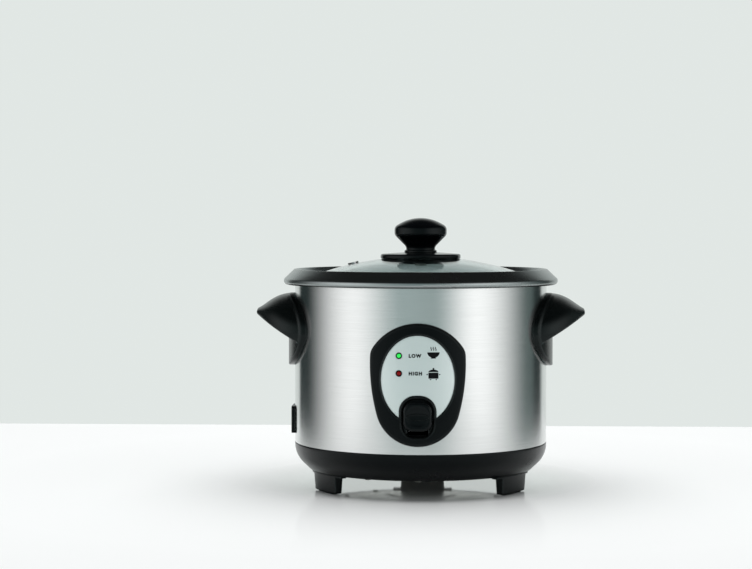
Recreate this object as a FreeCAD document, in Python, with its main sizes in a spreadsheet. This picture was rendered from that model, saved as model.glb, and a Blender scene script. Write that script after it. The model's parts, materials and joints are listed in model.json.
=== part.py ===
"""Drum rice cooker: steel shell, lift-out pot, glass lid and a magnetic cook lever.

The frame has +Z up and the panel towards -Y. Its origin is on the axis of the drum, on the
surface that the feet stand on.
"""
import FreeCAD
import Part
import Sketcher
import math
import os
import re

# Driving sizes: millimetres, with angles in degrees.
SIZES = {
    # heights, from the floor up
    "foot_height": 17.0,
    "base_depth": 24.0,
    "shell_height": 139.5,
    "ring_height": 13.5,
    "liner_rise": 32.2,
    # clearances
    "fit_gap": 0.2,
    "seat_gap": 0.3,
    "hole_gap": 0.1,
    "pin_gap": 0.05,
    # outer shell
    "shell_radius": 112.0,
    "shell_wall": 0.8,
    "tuck_depth": 1.8,
    # top ring
    "ring_overhang": 9.8,
    "ring_edge_height": 4.7,
    "ring_lower_rounding": 3.0,
    "ring_upper_rounding": 2.6,
    "ring_brow": 0.5,
    "ring_top_width": 1.7,
    "ring_corner": 0.7,
    "seat_depth": 7.3,
    "seat_inset": 5.6,
    "ring_lip": 1.7,
    "ring_web": 3.4,
    "skirt_wall": 1.6,
    "skirt_length": 7.0,
    # base bowl
    "base_taper": 13.0,
    "base_knuckle": 12.5,
    "base_rounding": 22.0,
    "base_wall": 2.4,
    "base_edge": 0.6,
    "base_lip_height": 6.0,
    "floor_width": 23.0,
    "cover_overlap": 7.0,
    "cover_thickness": 1.0,
    "vent_length": 26.0,
    "vent_width": 4.0,
    "vent_radius": 52.0,
    "vent_count": 12,
    # feet
    "foot_length": 41.0,
    "foot_width": 11.5,
    "foot_inset": 1.2,
    "foot_corner": 4.5,
    "foot_draft": 4.0,
    "foot_flange": 2.0,
    "foot_flange_reach": 7.0,
    "pad_stand": 1.0,
    "pad_sink": 1.6,
    "pad_margin": 3.2,
    # liner and pot
    "air_gap": 8.0,
    "liner_wall": 0.8,
    "liner_corner": 4.0,
    "liner_flange": 5.0,
    "pot_gap": 4.6,
    "pot_wall": 1.6,
    "pot_corner": 11.0,
    "pot_rim_gap": 0.6,
    "pot_rim_thickness": 1.4,
    "pot_rim_width": 6.4,
    "band_height": 20.0,
    "band_thickness": 1.2,
    "band_rise": 60.0,
    # heating plate
    "post_height": 6.0,
    "post_radius": 4.5,
    "post_circle": 62.0,
    "plate_radius": 76.0,
    "plate_thickness": 9.0,
    "plate_edge": 2.0,
    "plate_bore": 17.5,
    "element_circle": 46.0,
    "element_radius": 5.0,
    "terminal_radius": 3.4,
    "terminal_pin_radius": 1.6,
    "terminal_drop": 9.0,
    "terminal_pin": 8.0,
    # lid
    "lid_clearance": 1.7,
    "lid_drop": 4.8,
    "lid_flange": 5.0,
    "rim_metal": 0.8,
    "rim_lip": 4.0,
    "glass_thickness": 4.0,
    "glass_flat": 0.7,
    "dome_radius": 275.0,
    "vent_place": 60.0,
    "vent_bore": 2.2,
    "vent_neck": 3.4,
    "vent_flange": 4.8,
    "vent_stand": 1.3,
    # knob
    "disc_radius": 35.7,
    "disc_rise": 3.5,
    "disc_rim": 4.0,
    "disc_edge": 1.8,
    "disc_foot": 0.9,
    "disc_slope_start": 27.0,
    "disc_slope_drop": 0.9,
    "knob_foot": 14.4,
    "knob_bead": 1.6,
    "knob_neck": 12.9,
    "knob_neck_height": 5.0,
    "knob_bulge": 23.3,
    "knob_belly_height": 15.4,
    "knob_rounding": 5.0,
    "knob_crown_inset": 3.8,
    "knob_crown_radius": 37.5,
    "knob_height": 30.6,
    "knob_screw_radius": 2.5,
    "knob_screw_reach": 16.0,
    "knob_screw_head": 5.0,
    "washer_radius": 15.0,
    "washer_thickness": 2.5,
    # handles
    "handle_half_width": 56.0,
    "handle_half_height": 32.2,
    "handle_drop": 40.0,
    "flange_thickness": 5.5,
    "flange_edge": 1.4,
    "hood_reach": 33.4,
    "hood_wall": 3.2,
    "hood_root_inset": 1.6,
    "hood_shoulder_inset": 7.5,
    "hood_shoulder_drop": 3.6,
    "hood_shoulder_lift": 3.0,
    "hood_mid_inset": 20.0,
    "hood_mid_drop": 13.6,
    "hood_mid_lift": 8.4,
    "hood_tip_half": 13.0,
    "hood_tip_height": 3.0,
    "hood_tip_lift": 15.4,
    "hood_rim_lift": 13.4,
    "hood_slope": 30.5,
    "hood_rim_rounding": 1.5,
    "grip_screw_radius": 1.8,
    "grip_screw_head": 3.6,
    "grip_screw_turn": 15.5,
    # panel
    "panel_stand": 4.3,
    "panel_height": 103.4,
    "panel_chin": 7.9,
    "panel_crown": 45.5,
    "panel_shoulder_half": 40.0,
    "panel_side_radius": 165.0,
    "panel_hip_half": 34.0,
    "panel_chin_radius": 36.0,
    "panel_shoulder_rounding": 14.0,
    "panel_edge": 2.2,
    "plate_half_width": 31.1,
    "plate_half_height": 37.0,
    "plate_rise": 56.4,
    "plate_stand": 3.5,
    "well_wall": 2.4,
    "well_stand": 1.1,
    "well_gap": 0.7,
    "well_side_gap": 1.4,
    "well_head": 2.9,
    "well_corner": 11.5,
    "well_foot_corner": 10.0,
    "slot_gap": 0.85,
    "lamp_offset": 15.7,
    "warm_lamp_rise": 76.5,
    "cook_lamp_rise": 61.7,
    "lamp_radius": 1.75,
    "collar_wall": 0.8,
    "collar_stand": 0.55,
    "board_width": 44.0,
    "board_height": 30.0,
    "board_thickness": 1.6,
    "board_depth": 5.0,
    # cook lever
    "lever_swing": 5.0,
    "pivot_reach": 62.0,
    "lever_drop": 13.2,
    "arm_thickness": 2.0,
    "arm_width": 14.0,
    "arm_step": 7.0,
    "arm_step_start": 6.0,
    "arm_step_run": 8.0,
    "arm_tail": 8.0,
    "pin_radius": 1.5,
    "boss_radius": 3.4,
    "ear_gap": 1.0,
    "ear_thickness": 1.2,
    "ear_half": 6.0,
    "ear_tail": 4.5,
    "paddle_half_width": 11.9,
    "paddle_height": 24.4,
    "paddle_lift": 1.2,
    "paddle_stand": 4.0,
    "paddle_dish": 1.5,
    "paddle_ridge": 3.6,
    "paddle_cheek": 1.5,
    "paddle_rounding": 2.2,
    "paddle_corner": 8.0,
    "stem_half": 8.0,
    "stem_height": 6.0,
    # thermostat
    "sensor_radius": 15.0,
    "sensor_top": 2.0,
    "sensor_barrel": 13.5,
    "sensor_wall": 1.5,
    "sensor_stop": 2.0,
    "sensor_stop_height": 1.5,
    "sensor_rise": 3.0,
    "retainer_radius": 24.0,
    "retainer_thickness": 2.2,
    "retainer_gap": 0.4,
    "ferrite_height": 6.0,
    "ferrite_bore": 7.5,
    "magnet_radius": 9.5,
    "magnet_height": 5.4,
    "rod_radius": 2.5,
    "rod_collar": 4.4,
    "collar_height": 1.5,
    "collar_gap": 0.8,
    "sensor_coil": 14.4,
    "sensor_wire": 1.0,
    "sensor_turns": 4,
    "magnet_coil": 5.6,
    "magnet_wire": 0.9,
    "magnet_turns": 5,
    # switch
    "switch_reach": 17.0,
    "switch_length": 19.8,
    "switch_depth": 6.4,
    "switch_height": 10.2,
    "plunger_radius": 1.4,
    "plunger_sink": 1.8,
    "fuse_radius": 3.0,
    "fuse_length": 18.0,
    "fuse_place": 42.0,
    "strap_width": 5.0,
    "strap_reach": 9.0,
    # mains inlet
    "inlet_height": 24.0,
    "inlet_width": 31.0,
    "inlet_stand": 2.4,
    "inlet_drop": 13.2,
    "inlet_corner": 3.0,
    "inlet_body_height": 19.6,
    "inlet_body_width": 27.0,
    "inlet_depth": 22.0,
    "socket_height": 16.0,
    "socket_width": 24.0,
    "socket_depth": 16.0,
    "socket_corner": 3.5,
    "blade_width": 4.0,
    "blade_thickness": 2.0,
    "blade_length": 12.0,
    "blade_tail": 8.0,
    "blade_spread": 7.0,
    "earth_lift": 4.0,
    "blade_drop": 2.0,
    # tie rods and screws
    "tie_inset": 12.0,
    "tie_radius": 3.5,
    "tie_screw_radius": 1.7,
    "tie_screw_reach": 8.0,
    "tie_head": 3.4,
    "head_height": 2.0,
    "cover_screw_inset": 3.4,
    "cover_boss": 4.0,
    "cover_boss_height": 6.0,
}

# Levels of the stack, as formulas of the sizes.
SEAM = "(foot_height + base_depth)"
RING_UNDER = f"({SEAM} + shell_height)"
RING_TOP = f"({RING_UNDER} + ring_height)"
POT_SEAT = f"({RING_TOP} - seat_depth)"
LINER_TOP = f"({POT_SEAT} - ring_web)"
POT_RIM = f"({POT_SEAT} + pot_rim_gap + pot_rim_thickness)"
LINER_UNDER = f"({SEAM} + liner_rise)"
LINER_FLOOR = f"({LINER_UNDER} + liner_wall)"
PLATE_UNDER = f"({LINER_FLOOR} + post_height)"
PLATE_TOP = f"({PLATE_UNDER} + plate_thickness)"
POT_BOTTOM = f"({PLATE_TOP} + seat_gap)"

# Radii that follow from the shell's.
SHELL_IN = "(shell_radius - shell_wall)"
LINER_OUT = "(shell_radius - air_gap)"
LINER_IN = f"({LINER_OUT} - liner_wall)"
POT_OUT = f"({LINER_IN} - pot_gap)"
POT_IN = f"({POT_OUT} - pot_wall)"
FLOOR_OUT = "(shell_radius - base_taper)"
FLOOR_IN = f"({FLOOR_OUT} - floor_width)"
COVER_RADIUS = f"({FLOOR_IN} + cover_overlap)"
TIE_CIRCLE = f"({FLOOR_OUT} - tie_inset)"
PANEL_FRONT = "(shell_radius + panel_stand)"

# The lid: the glass sits on the rim band's lip, and the band's flange on the pot's rim.
GLASS_RADIUS = f"({POT_IN} - lid_clearance)"
LID_SEAT = f"({POT_RIM} + seat_gap)"
LID_LIP = f"({LID_SEAT} - lid_drop)"
DOME_IN = "(dome_radius - glass_thickness)"
GLASS_UNDER = f"({LID_LIP} + {DOME_IN} - sqrt({DOME_IN}^2 - ({GLASS_RADIUS} - glass_flat)^2))"
GLASS_TOP = f"({GLASS_UNDER} + glass_thickness)"
DISC_TOP = f"({GLASS_TOP} + disc_rise)"

# The lever turns about a pin under the liner; the well in the panel leaves room for its paddle.
LEVER_AXIS = f"({LINER_UNDER} - lever_drop)"
ARM_UNDER = f"({LEVER_AXIS} - arm_thickness)"
PADDLE_BOTTOM = f"({LEVER_AXIS} + paddle_lift)"
PADDLE_TOP = f"({PADDLE_BOTTOM} + paddle_height)"
PADDLE_FRONT = f"({PANEL_FRONT} + paddle_stand)"
WELL_FLOOR = "(shell_radius + well_stand)"
PADDLE_BACK = f"({WELL_FLOOR} + 2 * seat_gap)"
PADDLE_DROP = f"(({PANEL_FRONT} - pivot_reach) * sin(lever_swing))"
WELL_BOTTOM = f"({PADDLE_BOTTOM} - {PADDLE_DROP} - well_gap)"
WELL_TOP = f"({PADDLE_TOP} + well_head)"
WELL_HALF = "(paddle_half_width + well_side_gap)"
STEM_LOW = f"({LEVER_AXIS} + arm_step - arm_thickness / 2 - stem_height / 2)"
SLOT_HALF = "(stem_half + slot_gap)"
SLOT_LOW = f"({STEM_LOW} - {PADDLE_DROP} - well_gap)"
SLOT_TOP = f"({STEM_LOW} + stem_height + well_gap)"
PANEL_BOTTOM = f"({WELL_BOTTOM} - panel_chin)"
PANEL_TOP = f"({PANEL_BOTTOM} + panel_height)"
PLATE_CENTRE = f"({PANEL_BOTTOM} + plate_rise)"

# The thermostat: a sprung cup with a ferrite ring, and a magnet that the lever lifts to it.
MAGNET_TRAVEL = "(pivot_reach * sin(lever_swing))"
FERRITE_UNDER = f"({PLATE_TOP} - sensor_top - ferrite_height)"
MAGNET_TOP = f"({FERRITE_UNDER} - {MAGNET_TRAVEL} - fit_gap)"
MAGNET_UNDER = f"({MAGNET_TOP} - magnet_height)"
RETAINER_UNDER = f"({LINER_UNDER} - retainer_thickness)"
STOP_TOP = f"({RETAINER_UNDER} - sensor_rise - seat_gap)"

HANDLE_HEIGHT = f"({RING_UNDER} - handle_drop)"
GRIP_FACE = "(shell_radius + flange_thickness)"
INLET_CENTRE = f"({LINER_UNDER} - inlet_drop)"

FOOT_ANGLES = {"foot_rear": 0, "foot_front_left": 120, "foot_front_right": 240}
TIE_ANGLES = (0, 120, 240)
COVER_SCREW_ANGLES = (30, 150, 270)
POST_ANGLES = (0, 120, 240)
TERMINAL_ANGLES = (75, 105)
GRIP_SIDES = (0, 180)
BLADES = (
    ("-blade_spread", "-blade_drop"),
    ("blade_spread", "-blade_drop"),
    ("0", "earth_lift - blade_drop"),
)
LAMP_RISES = {"warm": "warm_lamp_rise", "cook": "cook_lamp_rise"}

UP = FreeCAD.Rotation()
TO_RIGHT = FreeCAD.Rotation(FreeCAD.Vector(0, 1, 0), 90)
TO_FRONT = FreeCAD.Rotation(FreeCAD.Vector(1, 0, 0), 90)
SIDE_ON = FreeCAD.Rotation(FreeCAD.Vector(1, 1, 1), 120)
Z_AXIS = FreeCAD.Vector(0, 0, 1)

doc = FreeCAD.newDocument("RiceCooker")
sheet = doc.addObject("Spreadsheet::Sheet", "Sizes")
nodes = []


def fill_sheet():
    """One row for each size: its name, and its number under that name as alias."""
    for row, (name, amount) in enumerate(SIZES.items(), start=1):
        sheet.set(f"A{row}", name)
        sheet.set(f"B{row}", str(amount))
        sheet.setAlias(f"B{row}", name)
    doc.recompute()


def linked(formula):
    """The formula with each size's name pointing at the sheet."""
    def point(word):
        name = word.group(0)
        return f"Sizes.{name}" if name in SIZES else name
    return re.sub(r"[a-z]\w*", point, formula)


def value(formula):
    """What a formula of the sizes comes to."""
    return float(sheet.evalExpression(linked(formula)))


def bind(item, **formulas):
    """Ties properties of an object to formulas of the sizes."""
    for name, formula in formulas.items():
        item.setExpression(name, linked(formula))
    return item


def place(item, x="0", y="0", z="0", turn=UP):
    """Turns an object, and ties its position to formulas of the sizes."""
    item.Placement = FreeCAD.Placement(FreeCAD.Vector(), turn)
    for axis, formula in zip("xyz", (x, y, z)):
        if formula != "0":
            item.setExpression(f"Placement.Base.{axis}", linked(formula))
    return item


def polar(radius, angle):
    """Formulas for the x and y of a point at a radius and an angle in degrees."""
    return f"({radius}) * cos({angle})", f"({radius}) * sin({angle})"


def about_axis(angle):
    """The turn about the drum's axis by an angle in degrees."""
    return FreeCAD.Rotation(Z_AXIS, angle)


def cylinder(name, radius, height, x="0", y="0", z="0", turn=UP):
    item = doc.addObject("Part::Cylinder", name)
    bind(item, Radius=radius, Height=height)
    return place(item, x, y, z, turn)


def box(name, length, width, height, x="0", y="0", z="0"):
    """A box with its low corner at x, y, z."""
    item = doc.addObject("Part::Box", name)
    bind(item, Length=length, Width=width, Height=height)
    return place(item, x, y, z)


def fuse(name, *pieces):
    item = doc.addObject("Part::MultiFuse", name)
    item.Shapes = list(pieces)
    return item


def cut(name, base, *tools):
    item = doc.addObject("Part::Cut", name)
    item.Base = base
    item.Tool = tools[0] if len(tools) == 1 else fuse(name + "_tools", *tools)
    return item


def common(name, one, other):
    item = doc.addObject("Part::Common", name)
    item.Base = one
    item.Tool = other
    return item


def group(name, pieces):
    """Separate solids that share one node."""
    item = doc.addObject("Part::Compound", name)
    item.Links = list(pieces)
    return item


def keep(item, label):
    """Marks an object as a finished piece of the cooker."""
    item.Label = label
    nodes.append(item)
    return item


def new_sketch(body, name, role, lift="0"):
    """A sketch on one of the body's own origin planes, or lifted off it."""
    sketch = body.newObject("Sketcher::SketchObject", name)
    planes = {plane.Role: plane for plane in body.Origin.OriginFeatures}
    sketch.AttachmentSupport = [(planes[role], "")]
    sketch.MapMode = "FlatFace"
    if lift != "0":
        sketch.setExpression("AttachmentOffset.Base.z", linked(lift))
    return sketch


def fix_point(sketch, geometry, end, across, up):
    """Holds a point of a sketch at formulas of the sizes."""
    for kind, axis, formula in (("DistanceX", -2, across), ("DistanceY", -1, up)):
        if formula == "0":
            sketch.addConstraint(Sketcher.Constraint("PointOnObject", geometry, end, axis))
        else:
            rule = Sketcher.Constraint(kind, -1, 1, geometry, end, value(formula))
            sketch.setExpression(f"Constraints[{sketch.addConstraint(rule)}]", linked(formula))


def fix_radius(sketch, geometry, radius):
    rule = sketch.addConstraint(Sketcher.Constraint("Radius", geometry, value(radius)))
    sketch.setExpression(f"Constraints[{rule}]", linked(radius))


def arc_between(centre, start, finish, leftward):
    """The arc from start to finish, and which of its ends each of them is."""
    first, last = (start, finish) if leftward else (finish, start)
    spoke = first - centre
    begin = math.atan2(spoke.y, spoke.x)
    spoke = last - centre
    end = math.atan2(spoke.y, spoke.x)
    if end <= begin:
        end += 2 * math.pi
    circle = Part.Circle(centre, Z_AXIS, (first - centre).Length)
    ends = (1, 2) if leftward else (2, 1)
    return Part.ArcOfCircle(circle, begin, end), ends


def rounded(before, corner, after, radius):
    """The arc that rounds a corner, its two ends in order and where they lie."""
    back = (before - corner).normalize()
    ahead = (after - corner).normalize()
    half = back.getAngle(ahead) / 2
    start = corner + back * (radius / math.tan(half))
    finish = corner + ahead * (radius / math.tan(half))
    centre = corner + (back + ahead).normalize() * (radius / math.sin(half))
    leftward = (corner - before).cross(after - corner).z > 0
    arc, ends = arc_between(centre, start, finish, leftward)
    return arc, ends, start, finish


def bowed(start, finish, radius, side):
    """An arc from start to finish that bows to the right (1) or to the left (-1)."""
    chord = finish - start
    right = FreeCAD.Vector(chord.y, -chord.x, 0).normalize()
    depth = math.sqrt(max(radius ** 2 - (chord.Length / 2) ** 2, 0))
    centre = (start + finish) * 0.5 - right * (side * depth)
    return arc_between(centre, start, finish, side > 0)


def draw(sketch, outline):
    """Draws a closed outline and ties every size of it to the sheet.

    An outline lists corners (across, up) or (across, up, rounding). An entry ("bow", radius, side)
    after a sharp corner makes the edge to the next sharp corner an arc.
    """
    corners = [entry for entry in outline if entry[0] != "bow"]
    bows = {}
    count = 0
    for entry in outline:
        if entry[0] == "bow":
            bows[count - 1] = entry[1:]
        else:
            count += 1
    points = [FreeCAD.Vector(value(corner[0]), value(corner[1]), 0) for corner in corners]
    leave = list(points)
    arrive = list(points)
    fillets = {}
    for number, corner in enumerate(corners):
        if len(corner) > 2:
            before = points[number - 1]
            after = points[(number + 1) % count]
            arc, ends, start, finish = rounded(before, points[number], after, value(corner[2]))
            arrive[number] = start
            leave[number] = finish
            pin = sketch.addGeometry(Part.Point(points[number]), True)
            fillets[number] = (sketch.addGeometry(arc), ends, pin)
    edges = []
    for number in range(count):
        finish = arrive[(number + 1) % count]
        if number in bows:
            radius, side = bows[number]
            arc, ends = bowed(leave[number], finish, value(radius), side)
            edges.append((sketch.addGeometry(arc), ends))
        else:
            edges.append((sketch.addGeometry(Part.LineSegment(leave[number], finish)), (1, 2)))
    for number, corner in enumerate(corners):
        last, last_ends = edges[number - 1]
        edge, edge_ends = edges[number]
        if number in fillets:
            arc, ends, pin = fillets[number]
            sketch.addConstraint(Sketcher.Constraint("Tangent", last, last_ends[1], arc, ends[0]))
            sketch.addConstraint(Sketcher.Constraint("Tangent", arc, ends[1], edge, edge_ends[0]))
            sketch.addConstraint(Sketcher.Constraint("PointOnObject", pin, 1, last))
            sketch.addConstraint(Sketcher.Constraint("PointOnObject", pin, 1, edge))
            fix_radius(sketch, arc, corner[2])
            fix_point(sketch, pin, 1, corner[0], corner[1])
        else:
            meet = Sketcher.Constraint("Coincident", last, last_ends[1], edge, edge_ends[0])
            sketch.addConstraint(meet)
            fix_point(sketch, edge, edge_ends[0], corner[0], corner[1])
    for number, (radius, side) in bows.items():
        fix_radius(sketch, edges[number][0], radius)
    return sketch


def new_body(name):
    return doc.addObject("PartDesign::Body", name)


def revolve(name, outline):
    """A body turned about the drum's axis from an outline of radii and heights."""
    body = new_body(name)
    sketch = draw(new_sketch(body, name + "_profile", "XZ_Plane"), outline)
    turned = body.newObject("PartDesign::Revolution", name + "_turned")
    turned.Profile = sketch
    turned.ReferenceAxis = (sketch, ["V_Axis"])
    turned.Angle = 360
    return body


def add_pad(body, sketch, length, both_ways=False, reverse=False):
    pad = body.newObject("PartDesign::Pad", sketch.Name + "_pad")
    pad.Profile = sketch
    pad.Midplane = both_ways
    pad.Reversed = reverse
    return bind(pad, Length=length)


def add_pocket(body, sketch, length, both_ways=False, reverse=False):
    pocket = body.newObject("PartDesign::Pocket", sketch.Name + "_pocket")
    pocket.Profile = sketch
    pocket.Midplane = both_ways
    pocket.Reversed = reverse
    return bind(pocket, Length=length)


def prism(name, role, outline, length, lift="0", both_ways=False):
    """A body of one outline, padded off an origin plane or to both sides of it."""
    body = new_body(name)
    sketch = draw(new_sketch(body, name + "_outline", role, lift), outline)
    add_pad(body, sketch, length, both_ways)
    return body


def rectangle(half_width, low, high, low_round=None, high_round=None):
    """An outline symmetrical about the vertical, with its lower and upper corners rounded."""
    lower = (low,) if low_round is None else (low, low_round)
    upper = (high,) if high_round is None else (high, high_round)
    left = f"-({half_width})"
    return [(left,) + lower, (half_width,) + lower, (half_width,) + upper, (left,) + upper]


def screw(name, radius, reach, head, head_height):
    """A pan-head screw: the shank runs up from the origin, the head hangs below."""
    shank = cylinder(name + "_shank", radius, reach)
    cap = cylinder(name + "_cap", head, head_height, z=f"-({head_height})")
    return fuse(name, shank, cap)


def arc_step(start, tangent, finish):
    """The arc that leaves start along tangent and ends at finish."""
    chord = finish - start
    along = FreeCAD.Vector(chord).normalize()
    turn = along.getAngle(tangent)
    outward = (tangent - along * tangent.dot(along)).normalize()
    middle = start + chord * 0.5 + outward * (chord.Length / 2 * math.tan(turn / 2))
    return Part.Arc(start, middle, finish).toShape()


def coil_spring(name, radius, wire, turns, bottom, top):
    """A coil spring: one tube on pairs of arcs, a pair to each quarter turn."""
    radius = value(radius)
    wire = value(wire)
    low = value(bottom) + wire / 2
    high = value(top) - wire / 2
    quarters = 4 * int(value(turns))
    sweep = quarters * math.pi / 2
    climb = (high - low) / sweep

    def point(angle):
        return FreeCAD.Vector(radius * math.cos(angle), radius * math.sin(angle), low + climb * angle)

    def heading(angle):
        return FreeCAD.Vector(-radius * math.sin(angle), radius * math.cos(angle), climb).normalize()

    edges = []
    for quarter in range(quarters):
        begin = quarter * math.pi / 2
        end = begin + math.pi / 2
        span = point(end) - point(begin)
        both = heading(begin) + heading(end)
        spread = 2 * (1 - heading(begin).dot(heading(end)))
        lean = span.dot(both)
        arm = (math.sqrt(lean ** 2 + spread * span.dot(span)) - lean) / spread
        first = point(begin) + heading(begin) * arm
        last = point(end) - heading(end) * arm
        joint = (first + last) * 0.5
        edges.append(arc_step(point(begin), heading(begin), joint))
        edges.append(arc_step(joint, (last - first).normalize(), point(end)))
    path = Part.Wire(edges)
    section = Part.Wire([Part.Circle(point(0), heading(0), wire / 2).toShape()])
    item = doc.addObject("Part::Feature", name)
    item.Shape = Part.Wire(path).makePipeShell([section], True, False)
    print(f"{name}: gap between turns {climb * 2 * math.pi - wire:.2f} mm")
    return item


def make_top_ring():
    edge = "shell_radius + ring_overhang"
    groove_in = f"{SHELL_IN} - fit_gap"
    groove_out = "shell_radius + fit_gap"
    groove_top = f"{RING_UNDER} + tuck_depth + fit_gap"
    skirt_in = f"{SHELL_IN} - fit_gap - skirt_wall"
    skirt_end = f"{RING_UNDER} - skirt_length"
    brow = "shell_radius + ring_brow"
    lip = f"{LINER_IN} - ring_lip"
    return revolve("top_ring", [
        (groove_out, RING_UNDER),
        (edge, RING_UNDER, "ring_lower_rounding"),
        (edge, f"{RING_UNDER} + ring_edge_height", "ring_upper_rounding"),
        (brow, RING_TOP, "ring_corner"),
        (f"{brow} - ring_top_width", RING_TOP, "ring_corner"),
        ("shell_radius - seat_inset", POT_SEAT),
        (lip, POT_SEAT, "ring_corner"),
        (lip, LINER_TOP),
        (skirt_in, LINER_TOP),
        (skirt_in, skirt_end),
        (groove_in, skirt_end),
        (groove_in, groove_top),
        (groove_out, groove_top),
    ])


def make_outer_shell():
    height = f"{RING_UNDER} + tuck_depth - {SEAM}"
    outside = cylinder("shell_outside", "shell_radius", height, z=SEAM)
    inside = cylinder("shell_inside", SHELL_IN, height, z=SEAM)
    holes = [lever_slot("shell_slot")]
    holes.extend(lamp_holes("shell"))
    for number, (turn, at) in enumerate(grip_screw_places()):
        holes.append(place(cylinder(f"grip_hole_{number}", "grip_screw_radius + fit_gap", "2 * air_gap"),
                           *at(f"{SHELL_IN} - air_gap"), HANDLE_HEIGHT, turn))
    wide = "(inlet_body_width + 2 * fit_gap)"
    high = "(inlet_body_height + 2 * fit_gap)"
    holes.append(box("inlet_cut", "2 * air_gap", wide, high,
                     "-shell_radius - air_gap", f"-{wide} / 2", f"{INLET_CENTRE} - {high} / 2"))
    return cut("outer_shell", outside, inside, *holes)


def lamp_holes(name):
    """Holes from front to back for the two lamps in their collars."""
    radius = "lamp_radius + hole_gap + collar_wall + hole_gap"
    holes = []
    for lamp, rise in LAMP_RISES.items():
        hole = cylinder(f"{name}_{lamp}_hole", radius, "2 * air_gap", turn=TO_FRONT)
        height = f"{PANEL_BOTTOM} + {rise}"
        holes.append(place(hole, "-lamp_offset", "-shell_radius + air_gap", height, TO_FRONT))
    return holes


def lever_slot(name):
    """The slot that the paddle's stem moves in."""
    return box(name, f"2 * {SLOT_HALF}", "2 * air_gap", f"{SLOT_TOP} - {SLOT_LOW}",
               f"-{SLOT_HALF}", "-shell_radius - air_gap", SLOT_LOW)


def grip_screw_places():
    """For each handle screw: its turn from upright to outward, and its place at a radius."""
    places = []
    for side in GRIP_SIDES:
        for sign in (-1, 1):
            angle = f"{side} + {sign} * grip_screw_turn"
            turn = about_axis(value(angle)) * TO_RIGHT
            places.append((turn, lambda radius, angle=angle: polar(radius, angle)))
    return places


def make_base_bowl():
    lip_in = f"{SHELL_IN} - fit_gap - base_wall"
    lip_out = f"{SHELL_IN} - fit_gap"
    lip_top = f"{SEAM} + base_lip_height"
    knuckle = "foot_height + base_knuckle"
    bowl = revolve("bowl_body", [
        ("shell_radius", SEAM, "base_edge"),
        ("shell_radius", knuckle, "base_rounding"),
        (FLOOR_OUT, "foot_height", "foot_inset"),
        (FLOOR_IN, "foot_height"),
        (FLOOR_IN, "foot_height + base_wall"),
        (f"{FLOOR_OUT} - base_wall / 2", "foot_height + base_wall"),
        (lip_in, f"{knuckle} + base_wall / 2", "base_rounding - base_wall"),
        (lip_in, lip_top),
        (lip_out, lip_top),
        (lip_out, SEAM),
    ])
    bosses = []
    holes = []
    for angle in COVER_SCREW_ANGLES:
        x, y = polar(f"{COVER_RADIUS} - cover_screw_inset", angle)
        bosses.append(cylinder(f"cover_boss_{angle}", "cover_boss", "cover_boss_height",
                               x, y, "foot_height"))
        holes.append(cylinder(f"cover_pilot_{angle}", "tie_screw_radius + pin_gap", "cover_boss_height",
                              x, y, "foot_height"))
    for angle in TIE_ANGLES:
        x, y = polar(TIE_CIRCLE, angle)
        holes.append(cylinder(f"tie_hole_{angle}", "tie_screw_radius + hole_gap", "2 * base_wall",
                              x, y, "foot_height - base_wall / 2"))
    return cut("base_bowl", fuse("bowl_with_bosses", bowl, *bosses), *holes)


def make_bottom_cover():
    """A steel disc under the base floor, with a ring of vent slots."""
    body = new_body("cover_body")
    sketch = new_sketch(body, "cover_outline", "XY_Plane", "foot_height - cover_thickness")
    circle = sketch.addGeometry(Part.Circle(FreeCAD.Vector(), Z_AXIS, value(COVER_RADIUS)))
    sketch.addConstraint(Sketcher.Constraint("Coincident", circle, 3, -1, 1))
    fix_radius(sketch, circle, COVER_RADIUS)
    add_pad(body, sketch, "cover_thickness")
    near = "vent_radius - vent_length / 2"
    far = "vent_radius + vent_length / 2"
    rounding = "vent_width * 0.45"
    slot = draw(new_sketch(body, "vent_slot", "XY_Plane", "foot_height"),
                rectangle("vent_width / 2", near, far, rounding, rounding))
    pocket = add_pocket(body, slot, "2 * cover_thickness", both_ways=True)
    pattern = body.newObject("PartDesign::PolarPattern", "vent_ring")
    pattern.Originals = [pocket]
    pattern.Axis = (slot, ["N_Axis"])
    pattern.Angle = 360
    bind(pattern, Occurrences="vent_count")
    body.Tip = pattern
    holes = []
    for angle in COVER_SCREW_ANGLES:
        x, y = polar(f"{COVER_RADIUS} - cover_screw_inset", angle)
        holes.append(cylinder(f"cover_hole_{angle}", "tie_screw_radius + hole_gap", "4 * cover_thickness",
                              x, y, "foot_height - 2 * cover_thickness"))
    return cut("bottom_cover", body, *holes)


def make_foot(name, angle):
    """A tapered foot under a flange, its outer face following the round of the base."""
    body = new_body(name + "_blank")
    inner = f"{FLOOR_OUT} - foot_inset - foot_width"
    wide = rectangle("foot_length / 2 + foot_flange_reach", inner, FLOOR_OUT, "foot_corner", "foot_corner")
    narrow = rectangle("foot_length / 2", inner, FLOOR_OUT, "foot_corner", "foot_corner")
    flange = draw(new_sketch(body, name + "_flange", "XY_Plane", "foot_height - foot_flange"), wide)
    add_pad(body, flange, "foot_flange")
    block = draw(new_sketch(body, name + "_block", "XY_Plane", "foot_height - foot_flange"), narrow)
    leg = add_pad(body, block, "foot_height - foot_flange - pad_stand", reverse=True)
    bind(leg, TaperAngle="-foot_draft")
    recess = draw(new_sketch(body, name + "_recess", "XY_Plane", "pad_stand"), pad_outline("fit_gap"))
    add_pocket(body, recess, "pad_sink", reverse=True)
    round_of_base = doc.addObject("Part::Cone", name + "_round")
    outer = f"{FLOOR_OUT} - foot_inset"
    toe = f"{outer} - foot_height * tan(foot_draft)"
    bind(round_of_base, Radius1=toe, Radius2=outer, Height="foot_height")
    return place(common(name, body, round_of_base), turn=about_axis(angle))


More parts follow.
